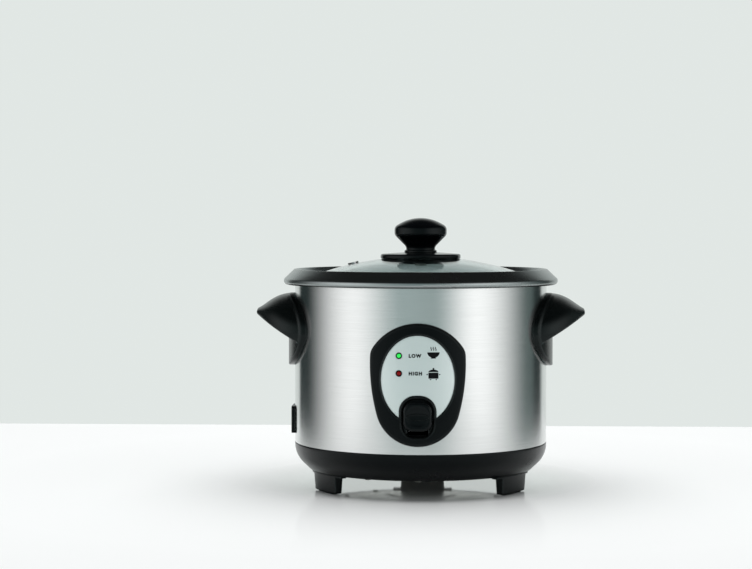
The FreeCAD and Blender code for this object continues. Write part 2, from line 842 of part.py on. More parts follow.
def pad_outline(gap):
    """The rubber pad seen from above, grown by a gap for its recess."""
    outer = f"{FLOOR_OUT} - foot_inset - pad_margin + {gap}"
    inner = f"{FLOOR_OUT} - foot_inset - foot_width + pad_margin - {gap}"
    half = f"foot_length / 2 - 2 * pad_margin + {gap}"
    return rectangle(half, inner, outer, "pad_margin / 2", "pad_margin / 2")


def make_foot_pads():
    pads = []
    for name, angle in FOOT_ANGLES.items():
        pad = prism(name + "_pad", "XY_Plane", pad_outline("0"), "pad_stand + pad_sink")
        pads.append(place(pad, turn=about_axis(angle)))
    return group("foot_pads", pads)


def make_inner_liner():
    flange = f"{LINER_OUT} + liner_flange"
    cup = revolve("liner_cup", [
        (flange, LINER_TOP),
        (LINER_IN, LINER_TOP),
        (LINER_IN, LINER_FLOOR, "liner_corner - liner_wall"),
        ("plate_bore", LINER_FLOOR),
        ("plate_bore", LINER_UNDER),
        (LINER_OUT, LINER_UNDER, "liner_corner"),
        (LINER_OUT, f"{LINER_TOP} - liner_wall"),
        (flange, f"{LINER_TOP} - liner_wall"),
    ])
    holes = []
    for angle in POST_ANGLES:
        x, y = polar("post_circle", angle)
        holes.append(cylinder(f"post_hole_{angle}", "tie_screw_radius + hole_gap", "4 * liner_wall",
                              x, y, f"{LINER_UNDER} - liner_wall"))
    for angle in TERMINAL_ANGLES:
        x, y = polar("element_circle", angle)
        holes.append(cylinder(f"terminal_hole_{angle}", "terminal_radius + seat_gap", "4 * liner_wall",
                              x, y, f"{LINER_UNDER} - liner_wall"))
    return cut("inner_liner", cup, *holes)


def make_warming_band():
    """The keep-warm heater, a mica band strapped round the liner."""
    low = f"{LINER_FLOOR} + band_rise"
    outer = f"{LINER_OUT} + band_thickness"
    high = f"{low} + band_height"
    return revolve("warming_band", [(LINER_OUT, low), (outer, low), (outer, high), (LINER_OUT, high)])


def make_inner_pot():
    under = f"{POT_RIM} - pot_rim_thickness"
    flange = f"{POT_OUT} + pot_rim_width"
    return revolve("inner_pot", [
        ("0", POT_BOTTOM),
        (POT_OUT, POT_BOTTOM, "pot_corner"),
        (POT_OUT, under, "pot_rim_thickness"),
        (flange, under, "pot_rim_thickness / 2.5"),
        (flange, POT_RIM, "pot_rim_thickness / 2.5"),
        (POT_IN, POT_RIM, "pot_rim_thickness"),
        (POT_IN, f"{POT_BOTTOM} + pot_wall", "pot_corner - pot_wall"),
        ("0", f"{POT_BOTTOM} + pot_wall"),
    ])


def make_heating_plate():
    """A cast plate with the element's rib under it and a bore for the sensor."""
    disc = revolve("plate_disc", [
        ("plate_bore", PLATE_UNDER),
        ("plate_radius", PLATE_UNDER),
        ("plate_radius", PLATE_TOP, "plate_edge"),
        ("plate_bore", PLATE_TOP),
    ])
    rib = doc.addObject("Part::Torus", "element_rib")
    bind(rib, Radius1="element_circle", Radius2="element_radius")
    place(rib, z=f"{PLATE_UNDER} + element_radius / 4")
    holes = []
    for angle in POST_ANGLES:
        x, y = polar("post_circle", angle)
        holes.append(cylinder(f"plate_pilot_{angle}", "tie_screw_radius + pin_gap", "plate_thickness / 2",
                              x, y, PLATE_UNDER))
    for angle in TERMINAL_ANGLES:
        x, y = polar("element_circle", angle)
        holes.append(cylinder(f"terminal_seat_{angle}", "terminal_radius", "post_height",
                              x, y, f"{PLATE_UNDER} - post_height"))
    return cut("heating_plate", fuse("plate_with_rib", disc, rib), *holes)


def make_heater_terminals():
    ends = []
    for angle in TERMINAL_ANGLES:
        x, y = polar("element_circle", angle)
        bead = cylinder(f"terminal_bead_{angle}", "terminal_radius", "terminal_drop",
                        x, y, f"{PLATE_UNDER} - terminal_drop")
        pin = cylinder(f"terminal_pin_{angle}", "terminal_pin_radius", "terminal_pin", x, y,
                       f"{PLATE_UNDER} - terminal_drop - terminal_pin")
        ends.append(fuse(f"terminal_{angle}", bead, pin))
    return group("heater_terminals", ends)


def make_heater_posts():
    posts = []
    for angle in POST_ANGLES:
        x, y = polar("post_circle", angle)
        sleeve = cylinder(f"post_{angle}", "post_radius", "post_height", x, y, LINER_FLOOR)
        bore = cylinder(f"post_bore_{angle}", "tie_screw_radius + hole_gap", "post_height",
                        x, y, LINER_FLOOR)
        posts.append(cut(f"post_sleeve_{angle}", sleeve, bore))
    return group("heater_posts", posts)


def make_heater_screws():
    screws = []
    reach = "liner_wall + post_height + plate_thickness / 3"
    for angle in POST_ANGLES:
        item = screw(f"heater_screw_{angle}", "tie_screw_radius", reach, "tie_head", "head_height")
        screws.append(place(item, *polar("post_circle", angle), LINER_UNDER))
    return group("heater_screws", screws)


def make_tie_rods():
    """Rods that pull the liner down on the base, so that the shell is held between ring and base."""
    rods = []
    for angle in TIE_ANGLES:
        x, y = polar(TIE_CIRCLE, angle)
        low = "foot_height + base_wall"
        rod = cylinder(f"tie_{angle}", "tie_radius", f"{LINER_UNDER} - ({low})", x, y, low)
        tap = cylinder(f"tie_tap_{angle}", "tie_screw_radius + pin_gap", "tie_screw_reach", x, y, low)
        rods.append(cut(f"tie_rod_{angle}", rod, tap))
    return group("tie_rods", rods)


def make_base_screws():
    screws = []
    for angle in TIE_ANGLES:
        item = screw(f"tie_screw_{angle}", "tie_screw_radius", "tie_screw_reach", "tie_head", "head_height")
        screws.append(place(item, *polar(TIE_CIRCLE, angle), "foot_height"))
    for angle in COVER_SCREW_ANGLES:
        item = screw(f"cover_screw_{angle}", "tie_screw_radius", "cover_boss_height",
                     "tie_head", "head_height")
        x, y = polar(f"{COVER_RADIUS} - cover_screw_inset", angle)
        screws.append(place(item, x, y, "foot_height - cover_thickness"))
    return group("base_screws", screws)


def dome_height(radius, gap="0"):
    """Height of the glass's outer face, or of a face a gap above it, at a radius."""
    ball = f"(dome_radius + {gap})"
    return f"({GLASS_TOP} + {gap} - {ball} + sqrt({ball}^2 - ({radius})^2))"


def vent_tool(name, radius, low, high):
    """A cylinder square to the glass at the steam vent, from below its face to above it."""
    lean = math.degrees(math.asin(value("vent_place / dome_radius")))
    turn = FreeCAD.Rotation(FreeCAD.Vector(0, 1, 0), -lean)
    item = cylinder(name, radius, f"({high}) + ({low})")
    along = f"(dome_radius - ({low})) / dome_radius"
    return place(item, f"-vent_place * {along}",
                 "0", f"{GLASS_TOP} - dome_radius + sqrt(dome_radius^2 - vent_place^2) * {along}", turn)


def make_lid_glass():
    dome = revolve("glass_dome", [
        ("0", GLASS_TOP),
        ("bow", "dome_radius", -1),
        (GLASS_RADIUS, dome_height(GLASS_RADIUS)),
        (GLASS_RADIUS, LID_LIP),
        (f"{GLASS_RADIUS} - glass_flat", LID_LIP),
        ("bow", DOME_IN, 1),
        ("0", GLASS_UNDER),
    ])
    bore = cylinder("glass_bore", "knob_screw_radius + fit_gap", "4 * glass_thickness",
                    z=f"{GLASS_UNDER} - glass_thickness")
    vent = vent_tool("glass_vent", "vent_neck + hole_gap", "2 * glass_thickness", "glass_thickness")
    return cut("lid_glass", dome, bore, vent)


def make_lid_rim_band():
    wall_in = f"{GLASS_RADIUS} + hole_gap"
    wall_out = f"{GLASS_RADIUS} + hole_gap + rim_metal"
    flange = f"{wall_out} + lid_flange"
    lip = f"{GLASS_RADIUS} - rim_lip"
    return revolve("lid_rim_band", [
        (lip, f"{LID_LIP} - rim_metal"),
        (wall_out, f"{LID_LIP} - rim_metal"),
        (wall_out, LID_SEAT),
        (flange, LID_SEAT),
        (flange, f"{LID_SEAT} + rim_metal"),
        (wall_in, f"{LID_SEAT} + rim_metal"),
        (wall_in, LID_LIP),
        (lip, LID_LIP),
    ])


def make_vent_grommet():
    cap = vent_tool("vent_cap", "vent_flange", "-hole_gap", "vent_stand")
    neck = vent_tool("vent_sleeve", "vent_neck", "glass_thickness + vent_stand", "vent_stand / 2")
    bore = vent_tool("vent_through", "vent_bore", "2 * glass_thickness", "glass_thickness")
    return cut("vent_grommet", fuse("vent_body", cap, neck), bore)


def make_knob_disc():
    bore = "knob_screw_radius + fit_gap"
    gap = "hole_gap"
    rest = "disc_radius - 2 * disc_foot"
    rim_low = dome_height(rest, gap)
    return revolve("knob_disc", [
        (bore, dome_height(bore, gap)),
        ("bow", f"dome_radius + {gap}", -1),
        (rest, rim_low),
        ("disc_radius", rim_low, "disc_foot"),
        ("disc_radius", f"{rim_low} + disc_rim", "disc_edge"),
        ("disc_slope_start", f"{DISC_TOP} - disc_slope_drop", "2 * disc_edge"),
        ("knob_foot", DISC_TOP),
        (bore, DISC_TOP),
    ])


def make_lid_knob():
    crown = "(knob_bulge - knob_crown_inset)"
    crown_depth = f"sqrt(knob_crown_radius^2 - {crown}^2)"
    crown_base = f"{DISC_TOP} + knob_height - knob_crown_radius + {crown_depth}"
    knob = revolve("knob_body", [
        ("0", DISC_TOP),
        ("knob_foot", DISC_TOP),
        ("knob_foot", f"{DISC_TOP} + knob_bead", "knob_bead / 2"),
        ("knob_neck", f"{DISC_TOP} + knob_bead * 1.5", "knob_bead / 4"),
        ("knob_neck", f"{DISC_TOP} + knob_neck_height", "3 * knob_bead"),
        ("knob_bulge", f"{DISC_TOP} + knob_belly_height", "knob_rounding"),
        ("knob_bulge", f"{crown_base} - knob_crown_inset * {crown} / {crown_depth}", "knob_rounding"),
        (crown, crown_base),
        ("bow", "knob_crown_radius", 1),
        ("0", f"{DISC_TOP} + knob_height"),
    ])
    bore = cylinder("knob_bore", "knob_screw_radius + pin_gap", "knob_screw_reach", z=DISC_TOP)
    return cut("lid_knob", knob, bore)


def make_knob_washer():
    low = f"{GLASS_UNDER} - washer_thickness"
    disc = cylinder("washer_disc", "washer_radius", "washer_thickness", z=low)
    bore = cylinder("washer_bore", "knob_screw_radius + fit_gap", "washer_thickness", z=low)
    ball = doc.addObject("Part::Sphere", "washer_ball")
    bind(ball, Radius=f"{DOME_IN} - hole_gap")
    place(ball, z=f"{GLASS_UNDER} - {DOME_IN}")
    return common("knob_washer", cut("washer_ring", disc, bore), ball)


def make_knob_screw():
    low = f"{GLASS_UNDER} - washer_thickness"
    item = screw("knob_screw", "knob_screw_radius", f"{DISC_TOP} + knob_screw_reach - fit_gap - ({low})",
                 "knob_screw_head", "head_height")
    return place(item, z=low)


def soften(solid, radius, wanted):
    """Rounds the edges of a solid whose middle point is wanted."""
    doc.recompute()
    chosen = []
    for number, edge in enumerate(solid.Shape.Edges, start=1):
        middle = edge.valueAt((edge.FirstParameter + edge.LastParameter) / 2)
        if wanted(edge, middle):
            chosen.append((number, value(radius), value(radius)))
    item = doc.addObject("Part::Fillet", solid.Name + "_rounded")
    item.Base = solid
    item.Edges = chosen
    return item


def hood_loft(name, inset, tip_pull):
    """The swelling wing of a handle, through four ellipses from the shell to the tip."""
    stations = (
        ("shell_radius - air_gap", "handle_half_width - hood_root_inset",
         "handle_half_height - hood_root_inset / 2", "0"),
        ("shell_radius + flange_thickness * 1.4", "handle_half_width - hood_shoulder_inset",
         "handle_half_height - hood_shoulder_drop", "hood_shoulder_lift"),
        ("shell_radius + hood_reach * 0.6", "handle_half_width - hood_mid_inset",
         "handle_half_height - hood_mid_drop", "hood_mid_lift"),
        (f"shell_radius + hood_reach - {tip_pull}", "hood_tip_half", "hood_tip_height", "hood_tip_lift"),
    )
    rings = []
    for number, (reach, half_width, half_height, lift) in enumerate(stations):
        shrink = inset if number < len(stations) - 1 else f"{inset} / 2"
        ring = doc.addObject("Part::Ellipse", f"{name}_ring_{number}")
        bind(ring, MajorRadius=f"{half_width} - {shrink}", MinorRadius=f"{half_height} - {shrink}")
        rings.append(place(ring, reach, "0", f"{HANDLE_HEIGHT} + {lift}", SIDE_ON))
    loft = doc.addObject("Part::Loft", name)
    loft.Sections = rings
    loft.Solid = True
    return loft


def make_handle(name, side):
    """A hood handle: an oval flange on the shell and a hollow wing, open below for the fingers."""
    oval = doc.addObject("Part::Ellipse", name + "_oval")
    bind(oval, MajorRadius="handle_half_width", MinorRadius="handle_half_height")
    place(oval, "0", "0", HANDLE_HEIGHT, SIDE_ON)
    slab = doc.addObject("Part::Extrusion", name + "_slab")
    slab.Base = oval
    slab.DirMode = "Custom"
    slab.Dir = FreeCAD.Vector(1, 0, 0)
    slab.Solid = True
    bind(slab, LengthFwd="2 * shell_radius")
    tall = "4 * handle_half_height"
    low = f"{HANDLE_HEIGHT} - 2 * handle_half_height"
    drum = cylinder(name + "_drum", "shell_radius", tall, z=low)
    face = cylinder(name + "_face", GRIP_FACE, tall, z=low)
    flange = cut(name + "_flange", common(name + "_pad", slab, face), drum)

    def on_face(edge, middle):
        return abs(math.hypot(middle.x, middle.y) - value(GRIP_FACE)) < 0.01

    flange = soften(flange, "flange_edge", on_face)
    tip = "(shell_radius + hood_reach)"
    rim = f"({HANDLE_HEIGHT} + hood_rim_lift)"
    inner = "(shell_radius - 2 * air_gap)"
    outer = f"({tip} + air_gap)"
    below = prism(name + "_below", "XZ_Plane", [
        (outer, f"{rim} + air_gap * tan(hood_slope)"),
        (inner, f"{rim} - ({tip} - {inner}) * tan(hood_slope)"),
        (inner, f"{HANDLE_HEIGHT} - 4 * handle_half_height"),
        (outer, f"{HANDLE_HEIGHT} - 4 * handle_half_height"),
    ], "4 * handle_half_width", both_ways=True)
    open_side = cut(name + "_open_side", below, face)
    wing = cut(name + "_wing", hood_loft(name + "_loft", "0", "0"), fuse(name + "_away", drum, open_side))
    slope = math.tan(math.radians(value("hood_slope")))

    def on_rim(edge, middle):
        level = value(rim) - (value(tip) - middle.x) * slope
        outside = math.hypot(middle.x, middle.y) > value(GRIP_FACE) + 0.5
        at_tip = middle.x > value(tip) - 0.01
        return at_tip or (abs(middle.z - level) < 0.01 and outside)

    wing = soften(wing, "hood_rim_rounding", on_rim)
    hollow = cut(name + "_hollow", hood_loft(name + "_inside", "hood_wall", "hood_wall"), face)
    body = cut(name + "_body", fuse(name + "_solid", flange, wing), hollow)
    pilots = []
    deep = "2 * air_gap + flange_thickness * 0.75"
    for sign in (-1, 1):
        angle = f"{sign} * grip_screw_turn"
        pilot = cylinder(f"{name}_pilot_{sign}", "grip_screw_radius + pin_gap", deep)
        x, y = polar("shell_radius - 2 * air_gap", angle)
        pilots.append(place(pilot, x, y, HANDLE_HEIGHT, about_axis(value(angle)) * TO_RIGHT))
    return place(cut(name, body, *pilots), turn=about_axis(side))


def make_handle_screws():
    screws = []
    for number, (turn, at) in enumerate(grip_screw_places()):
        item = screw(f"grip_screw_{number}", "grip_screw_radius", "shell_wall + flange_thickness * 0.7",
                     "grip_screw_head", "head_height")
        screws.append(place(item, *at(f"{SHELL_IN} - hole_gap"), HANDLE_HEIGHT, turn))
    return group("handle_screws", screws)


def curved_slab(name, inside, outside, low, high, outline):
    """A plate curved with the shell, cut to an outline seen from the front."""
    body = new_body(name)
    sketch = draw(new_sketch(body, name + "_section", "YZ_Plane"), [
        (f"-({inside})", low), (f"-({outside})", low), (f"-({outside})", high), (f"-({inside})", high)])
    turned = body.newObject("PartDesign::Revolution", name + "_turned")
    turned.Profile = sketch
    turned.ReferenceAxis = (sketch, ["V_Axis"])
    turned.Midplane = True
    turned.Angle = 80
    trim = new_sketch(body, name + "_trim", "XZ_Plane")
    draw(trim, rectangle("shell_radius", f"{low} - panel_chin", f"{high} + panel_chin"))
    draw(trim, outline)
    add_pocket(body, trim, "2 * shell_radius", reverse=True)
    return body


def panel_outline():
    shoulder = f"{PANEL_TOP} - panel_crown + sqrt(panel_crown^2 - panel_shoulder_half^2)"
    hip = f"{PANEL_BOTTOM} + panel_chin_radius - sqrt(panel_chin_radius^2 - panel_hip_half^2)"
    return [
        ("-panel_hip_half", hip),
        ("bow", "panel_chin_radius", 1),
        ("panel_hip_half", hip),
        ("bow", "panel_side_radius", 1),
        ("panel_shoulder_half", shoulder),
        ("bow", "panel_crown", 1),
        ("-panel_shoulder_half", shoulder),
        ("bow", "panel_side_radius", 1),
    ]


def round_edges(body, name, radius, wanted):
    """Rounds the edges of a body whose middle point is wanted."""
    doc.recompute()
    base = body.Tip
    chosen = []
    for number, edge in enumerate(base.Shape.Edges, start=1):
        middle = edge.valueAt((edge.FirstParameter + edge.LastParameter) / 2)
        if wanted(edge, middle):
            chosen.append(f"Edge{number}")
    fillet = body.newObject("PartDesign::Fillet", name)
    fillet.Base = (base, chosen)
    return bind(fillet, Radius=radius)


def plate_oval(name, grow):
    """The oval of the silver plate seen from the front, grown by a gap, without the lever's well."""
    oval = doc.addObject("Part::Ellipse", name + "_oval")
    bind(oval, MajorRadius=f"plate_half_height + {grow}", MinorRadius=f"plate_half_width + {grow}")
    place(oval, "0", "0", PLATE_CENTRE, TO_FRONT * about_axis(90))
    block = doc.addObject("Part::Extrusion", name + "_block")
    block.Base = oval
    block.DirMode = "Custom"
    block.Dir = FreeCAD.Vector(0, -1, 0)
    block.Solid = True
    bind(block, LengthFwd="2 * shell_radius")
    rim = rectangle(f"{WELL_HALF} + well_wall - {grow}", f"{PANEL_BOTTOM} - panel_chin",
                    f"{WELL_TOP} + well_wall - {grow}", None, "well_corner + well_wall")
    arch = prism(name + "_arch", "XZ_Plane", rim, "2 * shell_radius")
    return cut(name, block, arch)


def make_panel_bezel():
    blank = curved_slab("bezel_blank", "shell_radius", PANEL_FRONT,
                        PANEL_BOTTOM, PANEL_TOP, panel_outline())
    front = value(PANEL_FRONT)
    turn_at = value("panel_shoulder_half")

    def at_shoulder(edge, middle):
        return abs(abs(middle.x) - turn_at) < 0.01 and abs(edge.tangentAt(edge.FirstParameter).y) > 0.9

    def on_front(edge, middle):
        return abs(math.hypot(middle.x, middle.y) - front) < 0.01

    round_edges(blank, "bezel_shoulders", "panel_shoulder_rounding", at_shoulder)
    round_edges(blank, "bezel_edge", "panel_edge", on_front)
    mouth = rectangle(WELL_HALF, WELL_BOTTOM, WELL_TOP, "well_foot_corner", "well_corner")
    floor = cylinder("well_floor", WELL_FLOOR, "panel_height", z=PANEL_BOTTOM)
    well = cut("bezel_well", prism("well_mouth", "XZ_Plane", mouth, "2 * shell_radius"), floor)
    return cut("panel_bezel", blank, plate_oval("plate_opening", "0"), well, lever_slot("bezel_slot"))


def make_panel_plate():
    outside = cylinder("plate_outside", "shell_radius + plate_stand", "panel_height", z=PANEL_BOTTOM)
    inside = cylinder("plate_inside", "shell_radius", "panel_height", z=PANEL_BOTTOM)
    sheet_metal = common("plate_curved", plate_oval("plate_shape", "-hole_gap"), outside)
    return cut("panel_plate", sheet_metal, inside, *lamp_holes("plate"))


def lamp_face():
    """How far in front of the axis the plate's face is where the lamps come through it."""
    return "sqrt((shell_radius + plate_stand)^2 - lamp_offset^2)"


def make_lamp(name, rise):
    """A lamp with a domed lens, from its board to just proud of the plate."""
    height = f"{PANEL_BOTTOM} + {rise}"
    back = f"({LINER_OUT} + board_depth - board_thickness)"
    body = cylinder(name + "_body", "lamp_radius", f"{lamp_face()} - {back}",
                    x="-lamp_offset", y=f"-{back}", z=height, turn=TO_FRONT)
    tip = doc.addObject("Part::Sphere", name + "_tip")
    bind(tip, Radius="lamp_radius")
    place(tip, "-lamp_offset", f"-{lamp_face()}", height)
    return fuse(name, body, tip)


def make_lamp_collars():
    collars = []
    for name, rise in LAMP_RISES.items():
        height = f"{PANEL_BOTTOM} + {rise}"
        back = f"({SHELL_IN} - shell_wall)"
        deep = f"{lamp_face()} + collar_stand - {back}"
        ring = cylinder(f"{name}_collar_out", "lamp_radius + hole_gap + collar_wall", deep,
                        x="-lamp_offset", y=f"-{back}", z=height, turn=TO_FRONT)
        bore = cylinder(f"{name}_collar_in", "lamp_radius + hole_gap", f"2 * ({deep})",
                        x="-lamp_offset", y=f"-{back}", z=height, turn=TO_FRONT)
        collars.append(cut(f"{name}_collar", ring, bore))
    return group("lamp_collars", collars)


def make_lamp_board():
    """The small board behind the panel that carries both lamps."""
    front = f"({LINER_OUT} + board_depth - board_thickness)"
    middle = f"({PANEL_BOTTOM} + (warm_lamp_rise + cook_lamp_rise) / 2)"
    return box("lamp_board", "board_width", "board_thickness", "board_height",
               "-board_width / 2", f"-{front}", f"{middle} - board_height / 2")


def make_power_inlet():
    """The mains inlet: a flange on the shell and a socket with a shroud behind it."""
    front = "(shell_radius + inlet_stand)"

    def block(name, width, height, low_round, high_round, depth):
        low = f"{INLET_CENTRE} - {height} / 2"
        high = f"{INLET_CENTRE} + {height} / 2"
        outline = rectangle(f"{width} / 2", low, high, low_round, high_round)
        return prism(name, "YZ_Plane", outline, depth, lift=f"-{front}")

    plate = block("inlet_plate", "inlet_width", "inlet_height", "inlet_corner", "inlet_corner", "2 * air_gap")
    drum = cylinder("inlet_drum", "shell_radius", "4 * inlet_height",
                    z=f"{INLET_CENTRE} - 2 * inlet_height")
    flange = cut("inlet_flange", plate, drum)
    body = block("inlet_body", "inlet_body_width", "inlet_body_height",
                 "inlet_corner", "inlet_corner", "inlet_depth")
    socket = block("inlet_socket", "socket_width", "socket_height", None, "socket_corner", "socket_depth")
    slots = [blade(f"blade_slot_{number}", *spot, "pin_gap") for number, spot in enumerate(BLADES)]
    return cut("power_inlet", fuse("inlet_solid", flange, body), socket, *slots)


def blade(name, across, up, gap):
    """A flat contact blade through the back wall of the inlet's socket."""
    floor = "(shell_radius + inlet_stand - socket_depth)"
    deep = "inlet_depth - socket_depth + blade_tail + blade_length"
    return box(name, deep, f"blade_thickness + 2 * {gap}", f"blade_width + 2 * {gap}",
               f"-{floor} - blade_length", f"{across} - blade_thickness / 2 - {gap}",
               f"{INLET_CENTRE} + {up} - blade_width / 2 - {gap}")


def make_inlet_pins():
    return group("inlet_pins", [blade(f"blade_{number}", *spot, "0") for number, spot in enumerate(BLADES)])


def make_sensor_cup():
    top = PLATE_TOP
    inner = "sensor_barrel - sensor_wall"
    stop = "sensor_barrel + sensor_stop"
    return revolve("sensor_cup", [
        ("0", top),
        ("sensor_radius", top, "sensor_top / 4"),
        ("sensor_radius", f"{top} - sensor_top"),
        ("sensor_barrel", f"{top} - sensor_top"),
        ("sensor_barrel", STOP_TOP),
        (stop, STOP_TOP),
        (stop, f"{STOP_TOP} - sensor_stop_height"),
        (inner, f"{STOP_TOP} - sensor_stop_height"),
        (inner, f"{top} - sensor_top"),
        ("0", f"{top} - sensor_top"),
    ])


def make_sensor_ferrite():
    outer = "sensor_barrel - sensor_wall - hole_gap"
    high = f"{PLATE_TOP} - sensor_top"
    return revolve("sensor_ferrite", [
        ("ferrite_bore", FERRITE_UNDER), (outer, FERRITE_UNDER), (outer, high), ("ferrite_bore", high)])


def make_sensor_retainer():
    inner = "sensor_barrel + retainer_gap"
    return revolve("sensor_retainer", [
        (inner, RETAINER_UNDER),
        ("retainer_radius", RETAINER_UNDER),
        ("retainer_radius", LINER_UNDER),
        (inner, LINER_UNDER),
    ])


def make_sensor_magnet():
    return revolve("sensor_magnet", [
        ("rod_radius", MAGNET_UNDER),
        ("magnet_radius", MAGNET_UNDER, "magnet_height / 8"),
        ("magnet_radius", MAGNET_TOP, "magnet_height / 8"),
        ("rod_radius", MAGNET_TOP),
    ])


def make_pull_rod():
    """The rod under the magnet, with a collar above and below the lever's fork."""
    upper = f"({LEVER_AXIS} + collar_gap)"
    lower = f"({ARM_UNDER} - collar_gap)"
    foot = f"{lower} - 2 * collar_height"
    return revolve("pull_rod", [
        ("0", foot),
        ("rod_radius", foot),
        ("rod_radius", f"{lower} - collar_height"),
        ("rod_collar", f"{lower} - collar_height"),
        ("rod_collar", lower),
        ("rod_radius", lower),
        ("rod_radius", upper),
        ("rod_collar", upper),
        ("rod_collar", f"{upper} + collar_height"),
        ("rod_radius", f"{upper} + collar_height"),
        ("rod_radius", MAGNET_TOP),
        ("0", MAGNET_TOP),
    ])


def make_lever_arm():
    """A bent steel strip: outer end at the paddle, a boss on the pin, a fork round the pull rod."""
    top = LEVER_AXIS
    high = f"({LEVER_AXIS} + arm_step)"
    bend = "(pivot_reach + arm_step_start)"
    rise = f"({bend} + arm_step_run)"
    front = f"({PADDLE_BACK} + paddle_stand)"
    strip = prism("arm_strip", "YZ_Plane", [
        ("arm_tail", ARM_UNDER),
        ("arm_tail", top),
        (f"-{bend} + arm_thickness", top),
        (f"-{rise} + arm_thickness", high),
        (f"-{front}", high),
        (f"-{front}", f"{high} - arm_thickness"),
        (f"-{rise}", f"{high} - arm_thickness"),
        (f"-{bend}", ARM_UNDER),
    ], "arm_width", both_ways=True)
    boss = cylinder("arm_boss", "boss_radius", "arm_width", x="-arm_width / 2", y="-pivot_reach",
                    z=LEVER_AXIS, turn=TO_RIGHT)
    bore = cylinder("arm_bore", "pin_radius + pin_gap", "2 * arm_width", x="-arm_width", y="-pivot_reach",
                    z=LEVER_AXIS, turn=TO_RIGHT)
    throat = "(rod_radius + collar_gap)"
    fork = box("arm_fork", f"2 * {throat}", "2 * arm_tail", "4 * arm_thickness",
               f"-{throat}", f"-{throat}", f"{ARM_UNDER} - arm_thickness")
    return cut("lever_arm", fuse("arm_with_boss", strip, boss), bore, fork)


def make_lever_paddle():
    """The finger paddle: a soft-edged pad with an oval scoop, on a stem that holds the arm."""
    outline = rectangle("paddle_half_width", PADDLE_BOTTOM, PADDLE_TOP, "paddle_corner", "paddle_corner")
    pad = prism("paddle_pad", "XZ_Plane", outline, f"{PADDLE_FRONT} - {PADDLE_BACK}", lift=PADDLE_BACK)
    front = value(PADDLE_FRONT)

    def on_front(edge, middle):
        return abs(middle.y + front) < 0.01

    round_edges(pad, "paddle_edge", "paddle_rounding", on_front)
    scoop = doc.addObject("Part::Ellipsoid", "paddle_scoop")
    bind(scoop, Radius1="(paddle_height / 2 - paddle_ridge) / sqrt(5 / 9)",
         Radius2="(paddle_half_width - paddle_cheek) / sqrt(5 / 9)", Radius3="3 * paddle_dish")
    place(scoop, "0", f"-{PADDLE_FRONT} - 2 * paddle_dish", f"({PADDLE_BOTTOM} + {PADDLE_TOP}) / 2")
    stem_back = f"({SHELL_IN} - fit_gap)"
    stem = box("paddle_stem", "2 * stem_half", f"{PADDLE_BACK} + fit_gap - {stem_back}", "stem_height",
               "-stem_half", f"-{PADDLE_BACK} - fit_gap", STEM_LOW)
    slit = box("paddle_slit", "arm_width + 2 * pin_gap", "2 * air_gap", "arm_thickness + 2 * pin_gap",
               "-arm_width / 2 - pin_gap", f"-{PADDLE_BACK} - paddle_stand - pin_gap",
               f"{LEVER_AXIS} + arm_step - arm_thickness - pin_gap")
    return cut("lever_paddle", fuse("paddle_solid", pad, stem), scoop, slit)


def make_lever_bracket():
    """A folded bracket under the liner, with an ear on each side of the arm."""
    inner = "(arm_width / 2 + ear_gap)"
    outer = f"({inner} + ear_thickness)"
    low = f"({LEVER_AXIS} - ear_tail)"
    saddle = box("bracket_saddle", f"2 * {outer}", "2 * ear_half", f"{LINER_UNDER} - {low}",
                 f"-{outer}", "-pivot_reach - ear_half", low)
    gap = box("bracket_gap", f"2 * {inner}", "4 * ear_half", f"{LINER_UNDER} - ear_thickness - {low}",
              f"-{inner}", "-pivot_reach - 2 * ear_half", low)
    bore = cylinder("bracket_bore", "pin_radius", f"4 * {outer}", x=f"-2 * {outer}", y="-pivot_reach",
                    z=LEVER_AXIS, turn=TO_RIGHT)
    return cut("lever_bracket", saddle, gap, bore)


def make_lever_pin():
    length = "(arm_width + 2 * ear_gap + 4 * ear_thickness)"
    return cylinder("lever_pin", "pin_radius", length, x=f"-{length} / 2", y="-pivot_reach",
                    z=LEVER_AXIS, turn=TO_RIGHT)


def plunger_place():
    return "-pivot_reach + switch_reach"


def make_micro_switch():
    low = f"({LINER_UNDER} - switch_height)"
    case = box("switch_case", "switch_length", "switch_depth", "switch_height",
               "-switch_length / 2", f"{plunger_place()} - switch_depth / 2", low)
    travel = "switch_reach * sin(lever_swing)"
    bore = cylinder("switch_bore", "plunger_radius + hole_gap", f"plunger_sink + {travel} + seat_gap",
                    y=plunger_place(), z=low)
    return cut("micro_switch", case, bore)


def make_switch_plunger():
    low = f"({LEVER_AXIS} + seat_gap + fit_gap)"
    top = f"{LINER_UNDER} - switch_height + plunger_sink"
    return cylinder("switch_plunger", "plunger_radius", f"{top} - {low}", y=plunger_place(), z=low)


def make_thermal_fuse():
    """The one-shot fuse, strapped under the liner's floor."""
    height = f"({LINER_UNDER} - fuse_radius)"
    body = cylinder("fuse_body", "fuse_radius", "fuse_length", x="fuse_place", y="fuse_length / 2",
                    z=height, turn=TO_FRONT)
    strap = box("fuse_strap", "2 * strap_reach", "strap_width", "liner_wall",
                "fuse_place - strap_reach", "-strap_width / 2", f"{LINER_UNDER} - liner_wall")
    return fuse("thermal_fuse", body, strap)


